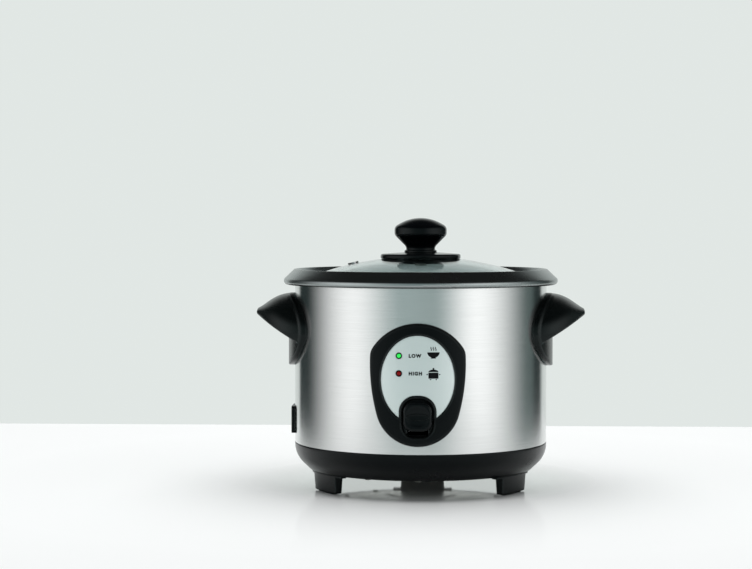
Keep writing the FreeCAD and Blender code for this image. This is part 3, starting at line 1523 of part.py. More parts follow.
def build():
    fill_sheet()
    for maker in (
            make_top_ring, make_outer_shell, make_base_bowl, make_bottom_cover, make_foot_pads,
            make_inner_liner, make_warming_band, make_inner_pot, make_heating_plate,
            make_heater_terminals, make_heater_posts, make_heater_screws, make_tie_rods,
            make_base_screws, make_lid_glass, make_lid_rim_band, make_vent_grommet, make_knob_disc,
            make_lid_knob, make_knob_washer, make_knob_screw, make_handle_screws, make_panel_bezel,
            make_panel_plate, make_lamp_collars, make_lamp_board, make_power_inlet,
            make_inlet_pins, make_sensor_cup, make_sensor_ferrite, make_sensor_retainer,
            make_sensor_magnet, make_pull_rod, make_lever_arm, make_lever_paddle,
            make_lever_bracket, make_lever_pin, make_micro_switch, make_switch_plunger,
            make_thermal_fuse):
        keep(maker(), maker.__name__.replace("make_", ""))
    for name, angle in FOOT_ANGLES.items():
        keep(make_foot(name, angle), name)
    keep(make_handle("right_handle", 0), "right_handle")
    keep(make_handle("left_handle", 180), "left_handle")
    for name, rise in LAMP_RISES.items():
        keep(make_lamp(f"{name}_lamp", rise), f"{name}_lamp")
    cup_roof = f"{PLATE_TOP} - sensor_top - fit_gap"
    for name, low in (("sensor", f"{LINER_UNDER} + fit_gap"), ("magnet", f"{MAGNET_TOP} + fit_gap")):
        spring = coil_spring(f"{name}_spring", f"{name}_coil", f"{name}_wire", f"{name}_turns", low, cup_roof)
        keep(spring, f"{name}_spring")
    doc.recompute()


def check_and_write():
    """Refuses a failed object or a bad shape, then writes one file for each piece."""
    failed = [item.Name for item in doc.Objects if "Invalid" in item.State or "Error" in item.State]
    for item in nodes:
        if item.Shape.isNull() or not item.Shape.isValid() or not item.Shape.Solids:
            failed.append(item.Label)
    if failed:
        raise RuntimeError("failed: " + ", ".join(sorted(set(failed))))
    os.makedirs("parts", exist_ok=True)
    for item in nodes:
        item.Shape.exportStep(f"parts/{item.Label}.step")
    print(f"{len(nodes)} pieces written")


build()
check_and_write()
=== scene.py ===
# %% [markdown]
# # Dressing a rice cooker
#
# The solid model of the cooker is already built: shell, ring, lid, pot, lever and all the works
# inside. This lesson dresses it. We load the solids as a fixed frame, give every surface a finish,
# add the printed signs and the small forms that are too fine for the solids, and then light the
# whole thing as a product photographer would. All lengths are metres, in the frame of the solids.

# %% Load the frame
import bpy
import bmesh
import json
import math
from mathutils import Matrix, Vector


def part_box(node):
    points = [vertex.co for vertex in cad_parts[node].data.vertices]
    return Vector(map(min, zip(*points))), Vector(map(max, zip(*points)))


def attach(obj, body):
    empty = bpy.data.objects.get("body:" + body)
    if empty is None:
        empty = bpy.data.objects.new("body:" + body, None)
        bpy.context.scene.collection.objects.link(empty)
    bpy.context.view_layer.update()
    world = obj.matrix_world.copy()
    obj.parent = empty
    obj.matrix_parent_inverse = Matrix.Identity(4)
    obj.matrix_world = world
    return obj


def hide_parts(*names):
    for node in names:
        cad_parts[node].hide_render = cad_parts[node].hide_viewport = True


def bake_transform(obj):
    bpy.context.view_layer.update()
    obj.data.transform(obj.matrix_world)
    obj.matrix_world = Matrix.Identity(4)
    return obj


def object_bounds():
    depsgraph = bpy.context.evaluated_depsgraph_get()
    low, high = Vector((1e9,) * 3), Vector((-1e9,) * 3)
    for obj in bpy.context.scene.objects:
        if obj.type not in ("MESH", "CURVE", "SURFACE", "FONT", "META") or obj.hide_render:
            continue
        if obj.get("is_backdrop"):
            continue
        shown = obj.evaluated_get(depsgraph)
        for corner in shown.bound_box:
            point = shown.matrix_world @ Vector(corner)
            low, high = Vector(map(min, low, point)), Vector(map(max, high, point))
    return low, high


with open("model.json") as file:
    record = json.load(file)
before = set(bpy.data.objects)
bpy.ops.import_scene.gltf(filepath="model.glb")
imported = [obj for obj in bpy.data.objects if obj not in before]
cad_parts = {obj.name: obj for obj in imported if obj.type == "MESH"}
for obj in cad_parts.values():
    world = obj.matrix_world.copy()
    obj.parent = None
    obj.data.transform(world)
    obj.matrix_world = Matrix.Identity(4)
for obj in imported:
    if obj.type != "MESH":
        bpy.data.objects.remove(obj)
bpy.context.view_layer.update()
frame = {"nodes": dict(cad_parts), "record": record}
nodes = frame["nodes"]
body_of_node = {}
for body, members in frame["record"]["behaviour"]["bodies"].items():
    for node in members:
        body_of_node[node] = body
slot_of_node = {part["node"]: part["material_slot"] for part in frame["record"]["subparts"]}

# %% [markdown]
# ## Sizes that are read from the solids
#
# The signs stand beside the lamps and are rolled onto the curved plate, so they need the lamps'
# heights and the plate's radius. We could type these numbers again, but they would go wrong as soon
# as the solids change.


# %% Shared sizes
def middle_height(node):
    """The height half way up a node's box."""
    low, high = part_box(node)
    return (low[2] + high[2]) / 2


plate_radius = -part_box("panel_plate")[0][1]
warm_height = middle_height("warm_lamp")
cook_height = middle_height("cook_lamp")
print("plate radius %.4f m, lamps at %.4f and %.4f m" % (plate_radius, warm_height, cook_height))

# %% [markdown]
# ## Helpers for nodes
#
# A finish is a net of nodes, and so is the light round the cooker. Such nets can be drawn by hand in
# the editor, but a script can be read, repeated and changed. The same moves come back in every net:
# make a node, set its plain values, work out a number. Each helper does one of these moves.


# %% Helpers for nodes
NUMBER = "NodeSocketFloat"
ARROW = "NodeSocketVector"


def set_sockets(node, **values):
    """Sets inputs to plain values; the words of a socket's name are joined by underscores."""
    for name, value in values.items():
        node.inputs[name.replace("_", " ")].default_value = value


def add_node(tree, kind, **values):
    """A new node with some of its inputs set."""
    node = tree.nodes.new(kind)
    set_sockets(node, **values)
    return node


def feed(tree, socket, value):
    """Links an input to another socket, or sets it to a plain value."""
    if isinstance(value, bpy.types.NodeSocket):
        tree.links.new(value, socket)
    else:
        socket.default_value = value


def add_math(tree, operation, *terms):
    """Works out a number from sockets and plain numbers, and returns its socket."""
    node = tree.nodes.new("ShaderNodeMath")
    node.operation = operation
    for socket, term in zip(node.inputs, terms):
        feed(tree, socket, term)
    return node.outputs["Value"]


def add_range(tree, value, begin, end, interpolation="LINEAR"):
    """A number that climbs from 0 to 1 while a value goes from its begin to its end."""
    node = add_node(tree, "ShaderNodeMapRange", From_Min=begin, From_Max=end)
    node.interpolation_type = interpolation
    tree.links.new(value, node.inputs["Value"])
    return node.outputs["Result"]


print("kinds of socket:", NUMBER, ARROW)

# %% [markdown]
# ## Helpers for colours
#
# A colour socket takes four numbers, of which the last is alpha. Where a colour changes over a
# surface, it either goes from one colour to another, which is a mix, or through several, which is a
# ramp. Both return the socket of their result, so that it can be linked on.


# %% Helpers for colours
def full_color(level):
    """Three numbers, or one number for a grey, as a colour with its alpha."""
    return (*level, 1) if isinstance(level, tuple) else (level, level, level, 1)


def add_mix(tree, factor, first, second):
    """A mix from a first colour or socket to a second colour."""
    node = tree.nodes.new("ShaderNodeMix")
    node.data_type = "RGBA"
    tree.links.new(factor, node.inputs["Factor"])
    feed(tree, node.inputs["A"], full_color(first) if isinstance(first, tuple) else first)
    node.inputs["B"].default_value = full_color(second)
    return node.outputs["Result"]


def add_ramp(tree, value, stops, interpolation="LINEAR"):
    """A ramp through stops of a position and a colour; a fresh ramp has its first stops ready."""
    node = tree.nodes.new("ShaderNodeValToRGB")
    node.color_ramp.interpolation = interpolation
    elements = node.color_ramp.elements
    ready = len(elements)
    for number, (position, level) in enumerate(stops):
        stop = elements[number] if number < ready else elements.new(position)
        stop.position = position
        stop.color = full_color(level)
    tree.links.new(value, node.inputs["Fac"])
    return node.outputs["Color"]


print("a middle grey:", full_color(0.5))

# %% [markdown]
# ## Plain finishes
#
# A finish is a material with one Principled shader. Values that are the same all over are set on
# the shader's own sockets, and only what changes over the surface arrives through nodes. The ink of
# the signs and the grey of the water marks are the same all over, so they need nothing more. So are
# the glass of the lid and the lamps' lenses: the lit lens glows, and the other one is unlit but has a
# faint painted glow.


# %% Plain finishes
def new_finish(name, color, **values):
    """A material with one Principled shader, its net and the shader."""
    finish = bpy.data.materials.new(name)
    finish.use_nodes = True
    shader = finish.node_tree.nodes["Principled BSDF"]
    set_sockets(shader, Base_Color=full_color(color), **values)
    return finish, finish.node_tree, shader


sign_ink = new_finish("SignInk", (0.004, 0.004, 0.005), Roughness=0.5, Specular_IOR_Level=0.1)[0]
mark_grey = new_finish("MarkGrey", (0.22, 0.22, 0.23), Roughness=0.45, Metallic=0.6)[0]
finishes = {
    "clear_glass": new_finish("ClearGlass", (0.68, 0.77, 0.77), Roughness=0.0, IOR=1.5,
                              Transmission_Weight=1.0)[0],
    "green_lens": new_finish("GreenLens", (0.02, 0.50, 0.06), Roughness=0.15, Coat_Weight=0.15,
                             Emission_Color=(0.02, 0.90, 0.10, 1), Emission_Strength=0.55)[0],
    # The unlit red lens has a faint painted glow.
    "red_lens": new_finish("RedLens", (0.22, 0.002, 0.002), Roughness=0.15, Specular_IOR_Level=0.15,
                           Emission_Color=(0.5, 0.01, 0.01, 1), Emission_Strength=0.05)[0],
}
print("plain finishes:", sign_ink.name, mark_grey.name, *finishes)

# %% [markdown]
# ## Helpers for shader groups
#
# An effect that several finishes share is built once, as a group with named inputs, and each finish
# places the group with values of its own. Copying the same nodes into every material would do as
# well, but then a change would have to be made many times.


# %% Helpers for shader groups
def new_group(name, inputs, outputs):
    """An empty shader group with number inputs and named outputs, and its two end nodes."""
    group = bpy.data.node_groups.new(name, "ShaderNodeTree")
    for socket, value in inputs.items():
        made = group.interface.new_socket(socket, in_out="INPUT", socket_type=NUMBER)
        made.default_value = value
    for socket, kind in outputs.items():
        group.interface.new_socket(socket, in_out="OUTPUT", socket_type=kind)
    return group, group.nodes.new("NodeGroupInput"), group.nodes.new("NodeGroupOutput")


def add_group(tree, group, **values):
    """Places a shader group in a material, with its inputs set."""
    node = tree.nodes.new("ShaderNodeGroup")
    node.node_tree = group
    set_sockets(node, **values)
    return node


print("groups so far:", len(bpy.data.node_groups))

# %% [markdown]
# ## Moulded grain
#
# The plastic pieces come from moulds with a fine sandblasted grain, which turns sharp reflections
# into a soft sheen. An image of such a grain would have to be fitted to every piece, so we let noise
# make it: a normal with small pits, and a roughness that varies like a cloud. A mould has no knife
# edges either, so the group also turns the normal near an edge as a small radius would, and puts out
# a mask of those edges.


# %% Moulded grain group
SMALL_RADIUS = 0.0004
EDGE_SAMPLES = 6
EDGE_AGREEMENT = 0.93
PIT_DEPTH = 0.0003
CLOUD_SCALE = 30.0


def make_grain_group():
    """Pits on a normal that turns near edges, a cloudy roughness and a mask of the edges."""
    group, start, end = new_group(
        "MouldedGrain",
        {"Grain Scale": 1400.0, "Depth": 0.2, "Base Roughness": 0.5, "Roughness Spread": 0.1,
         "Edge Radius": SMALL_RADIUS},
        {"Normal": ARROW, "Roughness": NUMBER, "Edge": NUMBER})
    links = group.links
    place = group.nodes.new("ShaderNodeTexCoord")
    edge = group.nodes.new("ShaderNodeBevel")
    edge.samples = EDGE_SAMPLES
    links.new(start.outputs["Edge Radius"], edge.inputs["Radius"])
    pits = add_node(group, "ShaderNodeTexNoise", Detail=3.0, Roughness=0.6)
    links.new(place.outputs["Object"], pits.inputs["Vector"])
    links.new(start.outputs["Grain Scale"], pits.inputs["Scale"])
    bump = add_node(group, "ShaderNodeBump", Distance=PIT_DEPTH)
    links.new(start.outputs["Depth"], bump.inputs["Strength"])
    links.new(pits.outputs["Fac"], bump.inputs["Height"])
    links.new(edge.outputs["Normal"], bump.inputs["Normal"])
    links.new(bump.outputs["Normal"], end.inputs["Normal"])
    cloud = add_node(group, "ShaderNodeTexNoise", Scale=CLOUD_SCALE)
    links.new(place.outputs["Object"], cloud.inputs["Vector"])
    spread = add_math(group, "MULTIPLY_ADD", cloud.outputs["Fac"],
                      start.outputs["Roughness Spread"], start.outputs["Base Roughness"])
    links.new(spread, end.inputs["Roughness"])
    face = group.nodes.new("ShaderNodeNewGeometry")
    agree = group.nodes.new("ShaderNodeVectorMath")
    agree.operation = "DOT_PRODUCT"
    links.new(face.outputs["Normal"], agree.inputs[0])
    links.new(edge.outputs["Normal"], agree.inputs[1])
    links.new(add_range(group, agree.outputs["Value"], 1.0, EDGE_AGREEMENT), end.inputs["Edge"])
    return group


grain_group = make_grain_group()
print("group:", grain_group.name)

# %% [markdown]
# ## Brush lines
#
# The shell was brushed while it turned, so its scratches run round the drum. A picture of scratches
# would show a seam and repeat. Noise that is squeezed hard along Z and hardly at all along X and Y
# gives long level streaks instead. The group puts out a mask for colour, a roughness and a normal.


# %% Brush line group
STREAK_STRETCH = 26.0
SCRATCH_DEPTH = 0.0001


def make_brush_group():
    """Long level streaks as a mask, a roughness and a normal."""
    group, start, end = new_group(
        "BrushLines",
        {"Line Scale": 2600.0, "Depth": 0.05, "Base Roughness": 0.25, "Roughness Spread": 0.1},
        {"Mask": NUMBER, "Roughness": NUMBER, "Normal": ARROW})
    links = group.links
    place = group.nodes.new("ShaderNodeTexCoord")
    split = group.nodes.new("ShaderNodeSeparateXYZ")
    links.new(place.outputs["Object"], split.inputs["Vector"])
    join = group.nodes.new("ShaderNodeCombineXYZ")
    scales = {"X": STREAK_STRETCH, "Y": STREAK_STRETCH, "Z": start.outputs["Line Scale"]}
    for axis, scale in scales.items():
        links.new(add_math(group, "MULTIPLY", split.outputs[axis], scale), join.inputs[axis])
    streaks = add_node(group, "ShaderNodeTexNoise", Scale=1.0, Detail=4.0, Roughness=0.65)
    links.new(join.outputs["Vector"], streaks.inputs["Vector"])
    links.new(streaks.outputs["Fac"], end.inputs["Mask"])
    spread = add_math(group, "MULTIPLY_ADD", streaks.outputs["Fac"],
                      start.outputs["Roughness Spread"], start.outputs["Base Roughness"])
    links.new(spread, end.inputs["Roughness"])
    bump = add_node(group, "ShaderNodeBump", Distance=SCRATCH_DEPTH)
    links.new(start.outputs["Depth"], bump.inputs["Strength"])
    links.new(streaks.outputs["Fac"], bump.inputs["Height"])
    links.new(bump.outputs["Normal"], end.inputs["Normal"])
    return group


brush_group = make_brush_group()
print("group:", brush_group.name)

# %% [markdown]
# ## Plastics
#
# Handles, base, bezel, lever and knob are black plastics that differ in gloss and grain. Black
# plastic in a bright studio looks grey, because every face mirrors a little, so a sheen below 1 dims
# the faces. Their rounded edges keep a brighter reflection, which is a painted highlight: there the
# shader is a very dark metal, which mirrors about as much as undimmed plastic. A row gives colour,
# grain scale, grain depth, roughness and its spread, and for the blacks also the radius of the edges
# and the sheen.


# %% Plastics
COOL = (0.86, 1.0, 1.0)
EDGE_HIGHLIGHT_TONE = (0.040, 0.046, 0.046)
PLASTICS = {
    "textured_black": ((0.002, 0.003, 0.003), 1500, 0.08, 0.22, 0.08, 0.0025, 0.40),
    "satin_black": ((0.002, 0.0025, 0.003), 900, 0.03, 0.22, 0.08, 0.0020, 0.19),
    "bezel_black": ((0.002, 0.0025, 0.003), 1300, 0.04, 0.22, 0.08, 0.0030, 0.20),
    "gloss_black": ((0.001, 0.0015, 0.002), 60, 0.02, 0.12, 0.08, 0.0012, 0.28),
    "switch_black": ((0.03, 0.03, 0.032), 900, 0.1, 0.42, 0.1),
    "switch_red": ((0.45, 0.03, 0.02), 900, 0.1, 0.4, 0.1),
    "pad_rubber": ((0.025, 0.025, 0.026), 800, 0.3, 0.7, 0.15),
    "mica_band": ((0.45, 0.36, 0.22), 400, 0.15, 0.55, 0.2),
    "ceramic_white": ((0.78, 0.75, 0.68), 500, 0.05, 0.25, 0.1),
    "board_green": ((0.03, 0.16, 0.07), 700, 0.05, 0.3, 0.1),
}


def finish_name(slot):
    """A slot's name as the name of a material."""
    return slot.title().replace("_", "")


def grained_plastic(slot, color, scale, depth, roughness, spread, edge=SMALL_RADIUS, sheen=None, **values):
    """Plastic with a moulded grain; a sheen dims its faces, and its edges get a painted highlight."""
    finish, tree, shader = new_finish(finish_name(slot), color, **values)
    grain = add_group(tree, grain_group, Grain_Scale=scale, Depth=depth, Base_Roughness=roughness,
                      Roughness_Spread=spread, Edge_Radius=edge)
    tree.links.new(grain.outputs["Normal"], shader.inputs["Normal"])
    tree.links.new(grain.outputs["Roughness"], shader.inputs["Roughness"])
    if sheen:
        set_sockets(shader, Specular_Tint=full_color(tuple(sheen * share for share in COOL)))
        # The edge mask turns the edges into a dark metal that mirrors more than the dimmed faces: a painted
        # highlight.
        tone = add_mix(tree, grain.outputs["Edge"], color, EDGE_HIGHLIGHT_TONE)
        tree.links.new(tone, shader.inputs["Base Color"])
        tree.links.new(grain.outputs["Edge"], shader.inputs["Metallic"])
    return finish


for slot, look in PLASTICS.items():
    finishes[slot] = grained_plastic(slot, *look)
print("plastics:", *PLASTICS)

# %% [markdown]
# ## Grained finishes with metal in them
#
# The plate behind the signs is painted silver, the ferrite and the magnet are pressed from a powder
# with iron in it, and the ring round the lid has a charcoal metal-look coat. Where the ring looks
# down it is darkened towards a dark grey: that is painted shade on the ring's underside. A mask that
# is painted by hand could show that, but the upward part of the normal already tells which way a
# face looks.


# %% Grained finishes with metal in them
UNDERSIDE_SHADE_DEEPEST = -0.8
UNDERSIDE_SHADE_ENDS = -0.4


def coated_plastic(slot, color, underside_shade_color, *grain, **values):
    """Grained plastic that darkens towards a painted shade colour on faces that look down."""
    finish = grained_plastic(slot, color, *grain, **values)
    tree = finish.node_tree
    place = tree.nodes.new("ShaderNodeTexCoord")
    split = tree.nodes.new("ShaderNodeSeparateXYZ")
    tree.links.new(place.outputs["Normal"], split.inputs["Vector"])
    # cover is the share of the colour that is free of the painted shade.
    cover = add_range(tree, split.outputs["Z"], UNDERSIDE_SHADE_DEEPEST, UNDERSIDE_SHADE_ENDS)
    tone = add_mix(tree, cover, underside_shade_color, color)
    tree.links.new(tone, tree.nodes["Principled BSDF"].inputs["Base Color"])
    return finish


finishes["silver_plate"] = grained_plastic(
    "silver_plate", (0.75, 0.815, 0.805), 2400, 0.03, 0.30, 0.08, Metallic=0.65)
finishes["ferrite_grey"] = grained_plastic(
    "ferrite_grey", (0.045, 0.045, 0.048), 900, 0.25, 0.55, 0.15, Metallic=0.3)
# The second colour is the painted shade on faces of the ring that look down.
finishes["charcoal_coat"] = coated_plastic(
    "charcoal_coat", (0.32, 0.35, 0.35), (0.05, 0.055, 0.055), 1500, 0.06, 0.24, 0.08, Metallic=1.0)
print("finishes so far:", len(finishes))

# %% [markdown]
# ## Metals
#
# Shell, pot, liner, rim and works are metals that differ in tone and in brushing. The mask of the
# brush lines mixes two close tones. On the shell and the pot the scratches are so fine and so many
# that they draw every highlight out across them, which is what anisotropy does; it needs a tangent
# that runs round the drum. A row gives the dark and the light tone, line scale, depth, roughness and
# its spread, and the anisotropy where there is some.


# %% Metals
DARK_STOP = 0.3
LIGHT_STOP = 0.7
QUARTER_TURN = 0.25
METALS = {
    "brushed_shell": ((0.59, 0.605, 0.60), (0.65, 0.665, 0.66), 2600, 0.02, 0.16, 0.06, 0.80),
    "liner_sheet": ((0.58, 0.58, 0.58), (0.68, 0.68, 0.68), 700, 0.05, 0.34, 0.12),
    "pot_metal": ((0.66, 0.66, 0.67), (0.76, 0.76, 0.77), 1600, 0.05, 0.28, 0.10, 0.5),
    "cast_plate": ((0.52, 0.52, 0.52), (0.64, 0.64, 0.64), 300, 0.1, 0.42, 0.15),
    "plated_steel": ((0.52, 0.53, 0.50), (0.62, 0.62, 0.58), 200, 0.03, 0.26, 0.14),
    "bright_rim": ((0.72, 0.72, 0.71), (0.80, 0.80, 0.79), 500, 0.01, 0.12, 0.08),
    "vent_steel": ((0.40, 0.40, 0.40), (0.50, 0.50, 0.50), 500, 0.01, 0.16, 0.08),
    "spring_steel": ((0.40, 0.40, 0.41), (0.52, 0.52, 0.53), 400, 0.02, 0.24, 0.1),
    "sensor_metal": ((0.62, 0.62, 0.62), (0.72, 0.72, 0.72), 700, 0.04, 0.30, 0.1),
    "pin_brass": ((0.62, 0.48, 0.24), (0.72, 0.58, 0.32), 500, 0.02, 0.22, 0.1),
}


def brushed_metal(slot, dark, light, scale, depth, roughness, spread, anisotropy=0.0):
    """Metal with brush lines in two tones, and with highlights drawn out across them."""
    finish, tree, shader = new_finish(finish_name(slot), light, Metallic=1.0, Anisotropic=anisotropy,
                                      Anisotropic_Rotation=QUARTER_TURN)
    lines = add_group(tree, brush_group, Line_Scale=scale, Depth=depth, Base_Roughness=roughness,
                      Roughness_Spread=spread)
    tone = add_ramp(tree, lines.outputs["Mask"], ((DARK_STOP, dark), (LIGHT_STOP, light)))
    tree.links.new(tone, shader.inputs["Base Color"])
    tree.links.new(lines.outputs["Roughness"], shader.inputs["Roughness"])
    tree.links.new(lines.outputs["Normal"], shader.inputs["Normal"])
    if anisotropy:
        around = tree.nodes.new("ShaderNodeTangent")
        around.direction_type = "RADIAL"
        around.axis = "Z"
        tree.links.new(around.outputs["Tangent"], shader.inputs["Tangent"])
    return finish


for slot, look in METALS.items():
    finishes[slot] = brushed_metal(slot, *look)
print("metals:", *METALS)

# %% [markdown]
# ## Pieces that stand for a solid
#
# A solid of the frame is never changed: a piece stands in for it and the solid is hidden. One
# helper makes the piece, paints it, attaches it to its body and hides the solid, so that no step is
# forgotten.


# %% Helpers for pieces
def add_object(name, data):
    """A new object in the scene, with a mesh, a lamp or a camera as its data."""
    made = bpy.data.objects.new(name, data)
    bpy.context.scene.collection.objects.link(made)
    return made


def paint(mesh, finish):
    """Gives a mesh one finish and no other."""
    mesh.materials.clear()
    mesh.materials.append(finish)


def finished_object(name, mesh, node, rides=True):
    """A piece that stands for a CAD node, with the finish of its slot and, unless it does not ride, its body.
    """
    piece = add_object(name, mesh)
    paint(mesh, finishes[slot_of_node[node]])
    if rides:
        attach(piece, body_of_node[node])
    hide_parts(node)
    return piece


print("slots with a finish:", len(finishes), "of", len(set(slot_of_node.values())))

# %% [markdown]
# ## Smooth copies of the solids
#
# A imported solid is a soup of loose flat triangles, which is right for physics but shades in
# facets. For the looks we copy each one, weld its corners, drop the stored normals of the loose
# triangles, and let Blender smooth every edge that bends by less than a set angle. Springs and
# pan-head screws are left out here, because they get finer forms of their own further on.


# %% Smooth copies
WELD_REACH = 2e-6
SLIVER = 1e-7
SOLID_ANGLE = 32
made_elsewhere = {"sensor_spring", "magnet_spring", "base_screws", "heater_screws"}


def smooth_faces(mesh, angle):
    """Smooths a mesh over every edge that bends by less than an angle in degrees."""
    mesh.polygons.foreach_set("use_smooth", [True] * len(mesh.polygons))
    mesh.set_sharp_from_angle(angle=math.radians(angle))


def smooth_copy(node):
    """The node's mesh with its corners welded and its shallow edges smoothed."""
    mesh = nodes[node].data.copy()
    mesh.name = node + "_smooth"
    work = bmesh.new()
    work.from_mesh(mesh)
    bmesh.ops.remove_doubles(work, verts=work.verts, dist=WELD_REACH)
    bmesh.ops.dissolve_degenerate(work, edges=work.edges, dist=SLIVER)
    work.to_mesh(mesh)
    work.free()
    stored = mesh.attributes.get("custom_normal")
    if stored:
        mesh.attributes.remove(stored)
    smooth_faces(mesh, SOLID_ANGLE)
    return mesh


smooth_pieces = {}
for node in nodes:
    if node not in made_elsewhere:
        smooth_pieces[node] = finished_object(node + "_dressed", smooth_copy(node), node)
print("smooth copies:", len(smooth_pieces))

# %% [markdown]
# ## Geometry Nodes helpers
#
# Springs, screws and tick marks repeat a rule, so Geometry Nodes make them. Each tree has named
# inputs. We set them by the socket's identifier before the object is evaluated, and then turn the
# result into a plain mesh.


# %% Geometry Nodes helpers
def new_tree(name, inputs):
    """A geometry tree with named inputs, and its two end nodes."""
    tree = bpy.data.node_groups.new(name, "GeometryNodeTree")
    tree.interface.new_socket("Geometry", in_out="INPUT", socket_type="NodeSocketGeometry")
    for socket, kind in inputs.items():
        tree.interface.new_socket(socket, in_out="INPUT", socket_type=kind)
    tree.interface.new_socket("Geometry", in_out="OUTPUT", socket_type="NodeSocketGeometry")
    return tree, tree.nodes.new("NodeGroupInput"), tree.nodes.new("NodeGroupOutput")


def moved(tree, geometry, way=None, turn=(0, 0, 0)):
    """A geometry that is turned and then moved, as a socket."""
    node = add_node(tree, "GeometryNodeTransform", Rotation=turn)
    tree.links.new(geometry, node.inputs["Geometry"])
    if way is not None:
        tree.links.new(way, node.inputs["Translation"])
    return node.outputs["Geometry"]


def finish_tree(tree, end, geometry, material):
    """Ends a tree in Realize Instances and Set Material."""
    real = tree.nodes.new("GeometryNodeRealizeInstances")
    coat = add_node(tree, "GeometryNodeSetMaterial", Material=material)
    tree.links.new(geometry, real.inputs["Geometry"])
    tree.links.new(real.outputs["Geometry"], coat.inputs["Geometry"])
    tree.links.new(coat.outputs["Geometry"], end.inputs["Geometry"])


print("shader groups so far:", *bpy.data.node_groups.keys())


# %% Running a tree
def evaluated_mesh(holder):
    """What an object comes to, as a plain mesh."""
    graph = bpy.context.evaluated_depsgraph_get()
    return bpy.data.meshes.new_from_object(holder.evaluated_get(graph))


def run_tree(name, tree, points, values):
    """Runs a tree on a cloud of points and returns the result as a plain mesh."""
    cloud = bpy.data.meshes.new(name + "_points")
    cloud.from_pydata(points, [], [])
    holder = add_object(name + "_holder", cloud)
    modifier = holder.modifiers.new("Tree", "NODES")
    modifier.node_group = tree
    sockets = [item for item in tree.interface.items_tree if item.in_out == "INPUT"]
    identifiers = {item.name: item.identifier for item in sockets}
    for socket, value in values.items():
        modifier[identifiers[socket]] = value
    mesh = evaluated_mesh(holder)
    mesh.name = name
    holder.modifiers.remove(modifier)
    bpy.data.objects.remove(holder)
    return mesh


print("pieces left for trees:", *sorted(made_elsewhere))

# %% [markdown]
# ## Coil springs
#
# Two springs work in the thermostat: a wide one that lifts the sensor cup to the pot, and a narrow
# one that pushes the magnet down. A screw modifier could wind them, but a spiral curve with a round
# section has all their sizes as inputs. One end of each spring stays on the housing and the other
# follows its body; here each coil is made at rest, rides no body and keeps its length.


# %% Coil springs
STEPS_IN_TURN = 40
WIRE_CORNERS = 12
WIRE_ANGLE = 50


def make_spring_tree():
    """A coil of round wire that stands on its foot."""
    tree, start, end = new_tree("CoilSpring", {
        "Turns": NUMBER, "Coil Radius": NUMBER, "Height": NUMBER, "Wire Radius": NUMBER, "Foot": ARROW})
    spiral = add_node(tree, "GeometryNodeCurveSpiral", Resolution=STEPS_IN_TURN)
    tree.links.new(start.outputs["Turns"], spiral.inputs["Rotations"])
    tree.links.new(start.outputs["Coil Radius"], spiral.inputs["Start Radius"])
    tree.links.new(start.outputs["Coil Radius"], spiral.inputs["End Radius"])
    tree.links.new(start.outputs["Height"], spiral.inputs["Height"])
    section = add_node(tree, "GeometryNodeCurvePrimitiveCircle", Resolution=WIRE_CORNERS)
    tree.links.new(start.outputs["Wire Radius"], section.inputs["Radius"])
    sweep = add_node(tree, "GeometryNodeCurveToMesh", Fill_Caps=True)
    tree.links.new(spiral.outputs["Curve"], sweep.inputs["Curve"])
    tree.links.new(section.outputs["Curve"], sweep.inputs["Profile Curve"])
    coil = moved(tree, sweep.outputs["Mesh"], start.outputs["Foot"])
    finish_tree(tree, end, coil, finishes["spring_steel"])
    return tree


spring_tree = make_spring_tree()
# A row gives the node, its turns, the coil's radius, the wire, and whether its top end stays put.
springs = (("sensor_spring", 4.0, 0.0144, 0.0010, False), ("magnet_spring", 5.0, 0.0056, 0.0009, True))
for node, turns, coil_radius, wire, top_stays in springs:
    low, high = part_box(node)
    mesh = run_tree(node + "_coil", spring_tree, [(0, 0, 0)], {
        "Turns": turns, "Coil Radius": coil_radius, "Height": high[2] - low[2] - wire,
        "Wire Radius": wire / 2, "Foot": (0.0, 0.0, low[2] + wire / 2)})
    smooth_faces(mesh, WIRE_ANGLE)
    coil = finished_object(node + "_dressed", mesh, node, rides=False)
    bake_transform(coil)
    print(node, "triangles:", sum(len(face.vertices) - 2 for face in mesh.polygons))

# %% [markdown]
# ## Screws with a cross recess
#
# The base and the heating plate are held by pan-head screws. Each could be modelled by itself, but
# they are all alike. One tree makes a screw with a tapered head, cuts the cross out of it with a
# boolean, and puts a copy on every point it is given.


# %% Head of a screw
HEAD_CORNERS = 28
HEAD_TAPER = 0.72
CROSS_BLADE = (0.0038, 0.0007, 0.0022)


def upright(tree, length, share):
    """A way straight up by a share of a length, as a socket."""
    way = tree.nodes.new("ShaderNodeCombineXYZ")
    tree.links.new(add_math(tree, "MULTIPLY", length, share), way.inputs["Z"])
    return way.outputs["Vector"]


def screw_head(tree, radius, height):
    """A tapered head that hangs below the origin, with a cross cut into its lower face."""
    head = add_node(tree, "GeometryNodeMeshCone", Vertices=HEAD_CORNERS)
    tree.links.new(add_math(tree, "MULTIPLY", radius, HEAD_TAPER), head.inputs["Radius Top"])
    tree.links.new(radius, head.inputs["Radius Bottom"])
    tree.links.new(height, head.inputs["Depth"])
    cut = tree.nodes.new("GeometryNodeMeshBoolean")
    cut.operation = "DIFFERENCE"
    tree.links.new(moved(tree, head.outputs["Mesh"], turn=(math.pi, 0, 0)), cut.inputs["Mesh 1"])
    for turn in (0, math.pi / 2):
        blade = add_node(tree, "GeometryNodeMeshCube", Size=CROSS_BLADE)
        seat = moved(tree, blade.outputs["Mesh"], upright(tree, height, -1.0), (0, 0, turn))
        tree.links.new(seat, cut.inputs["Mesh 2"])
    return cut.outputs["Mesh"]


print("cross recess: %.1f mm wide" % (1000 * CROSS_BLADE[0]))

# %% Tree of a pan-head screw
SHANK_CORNERS = 20


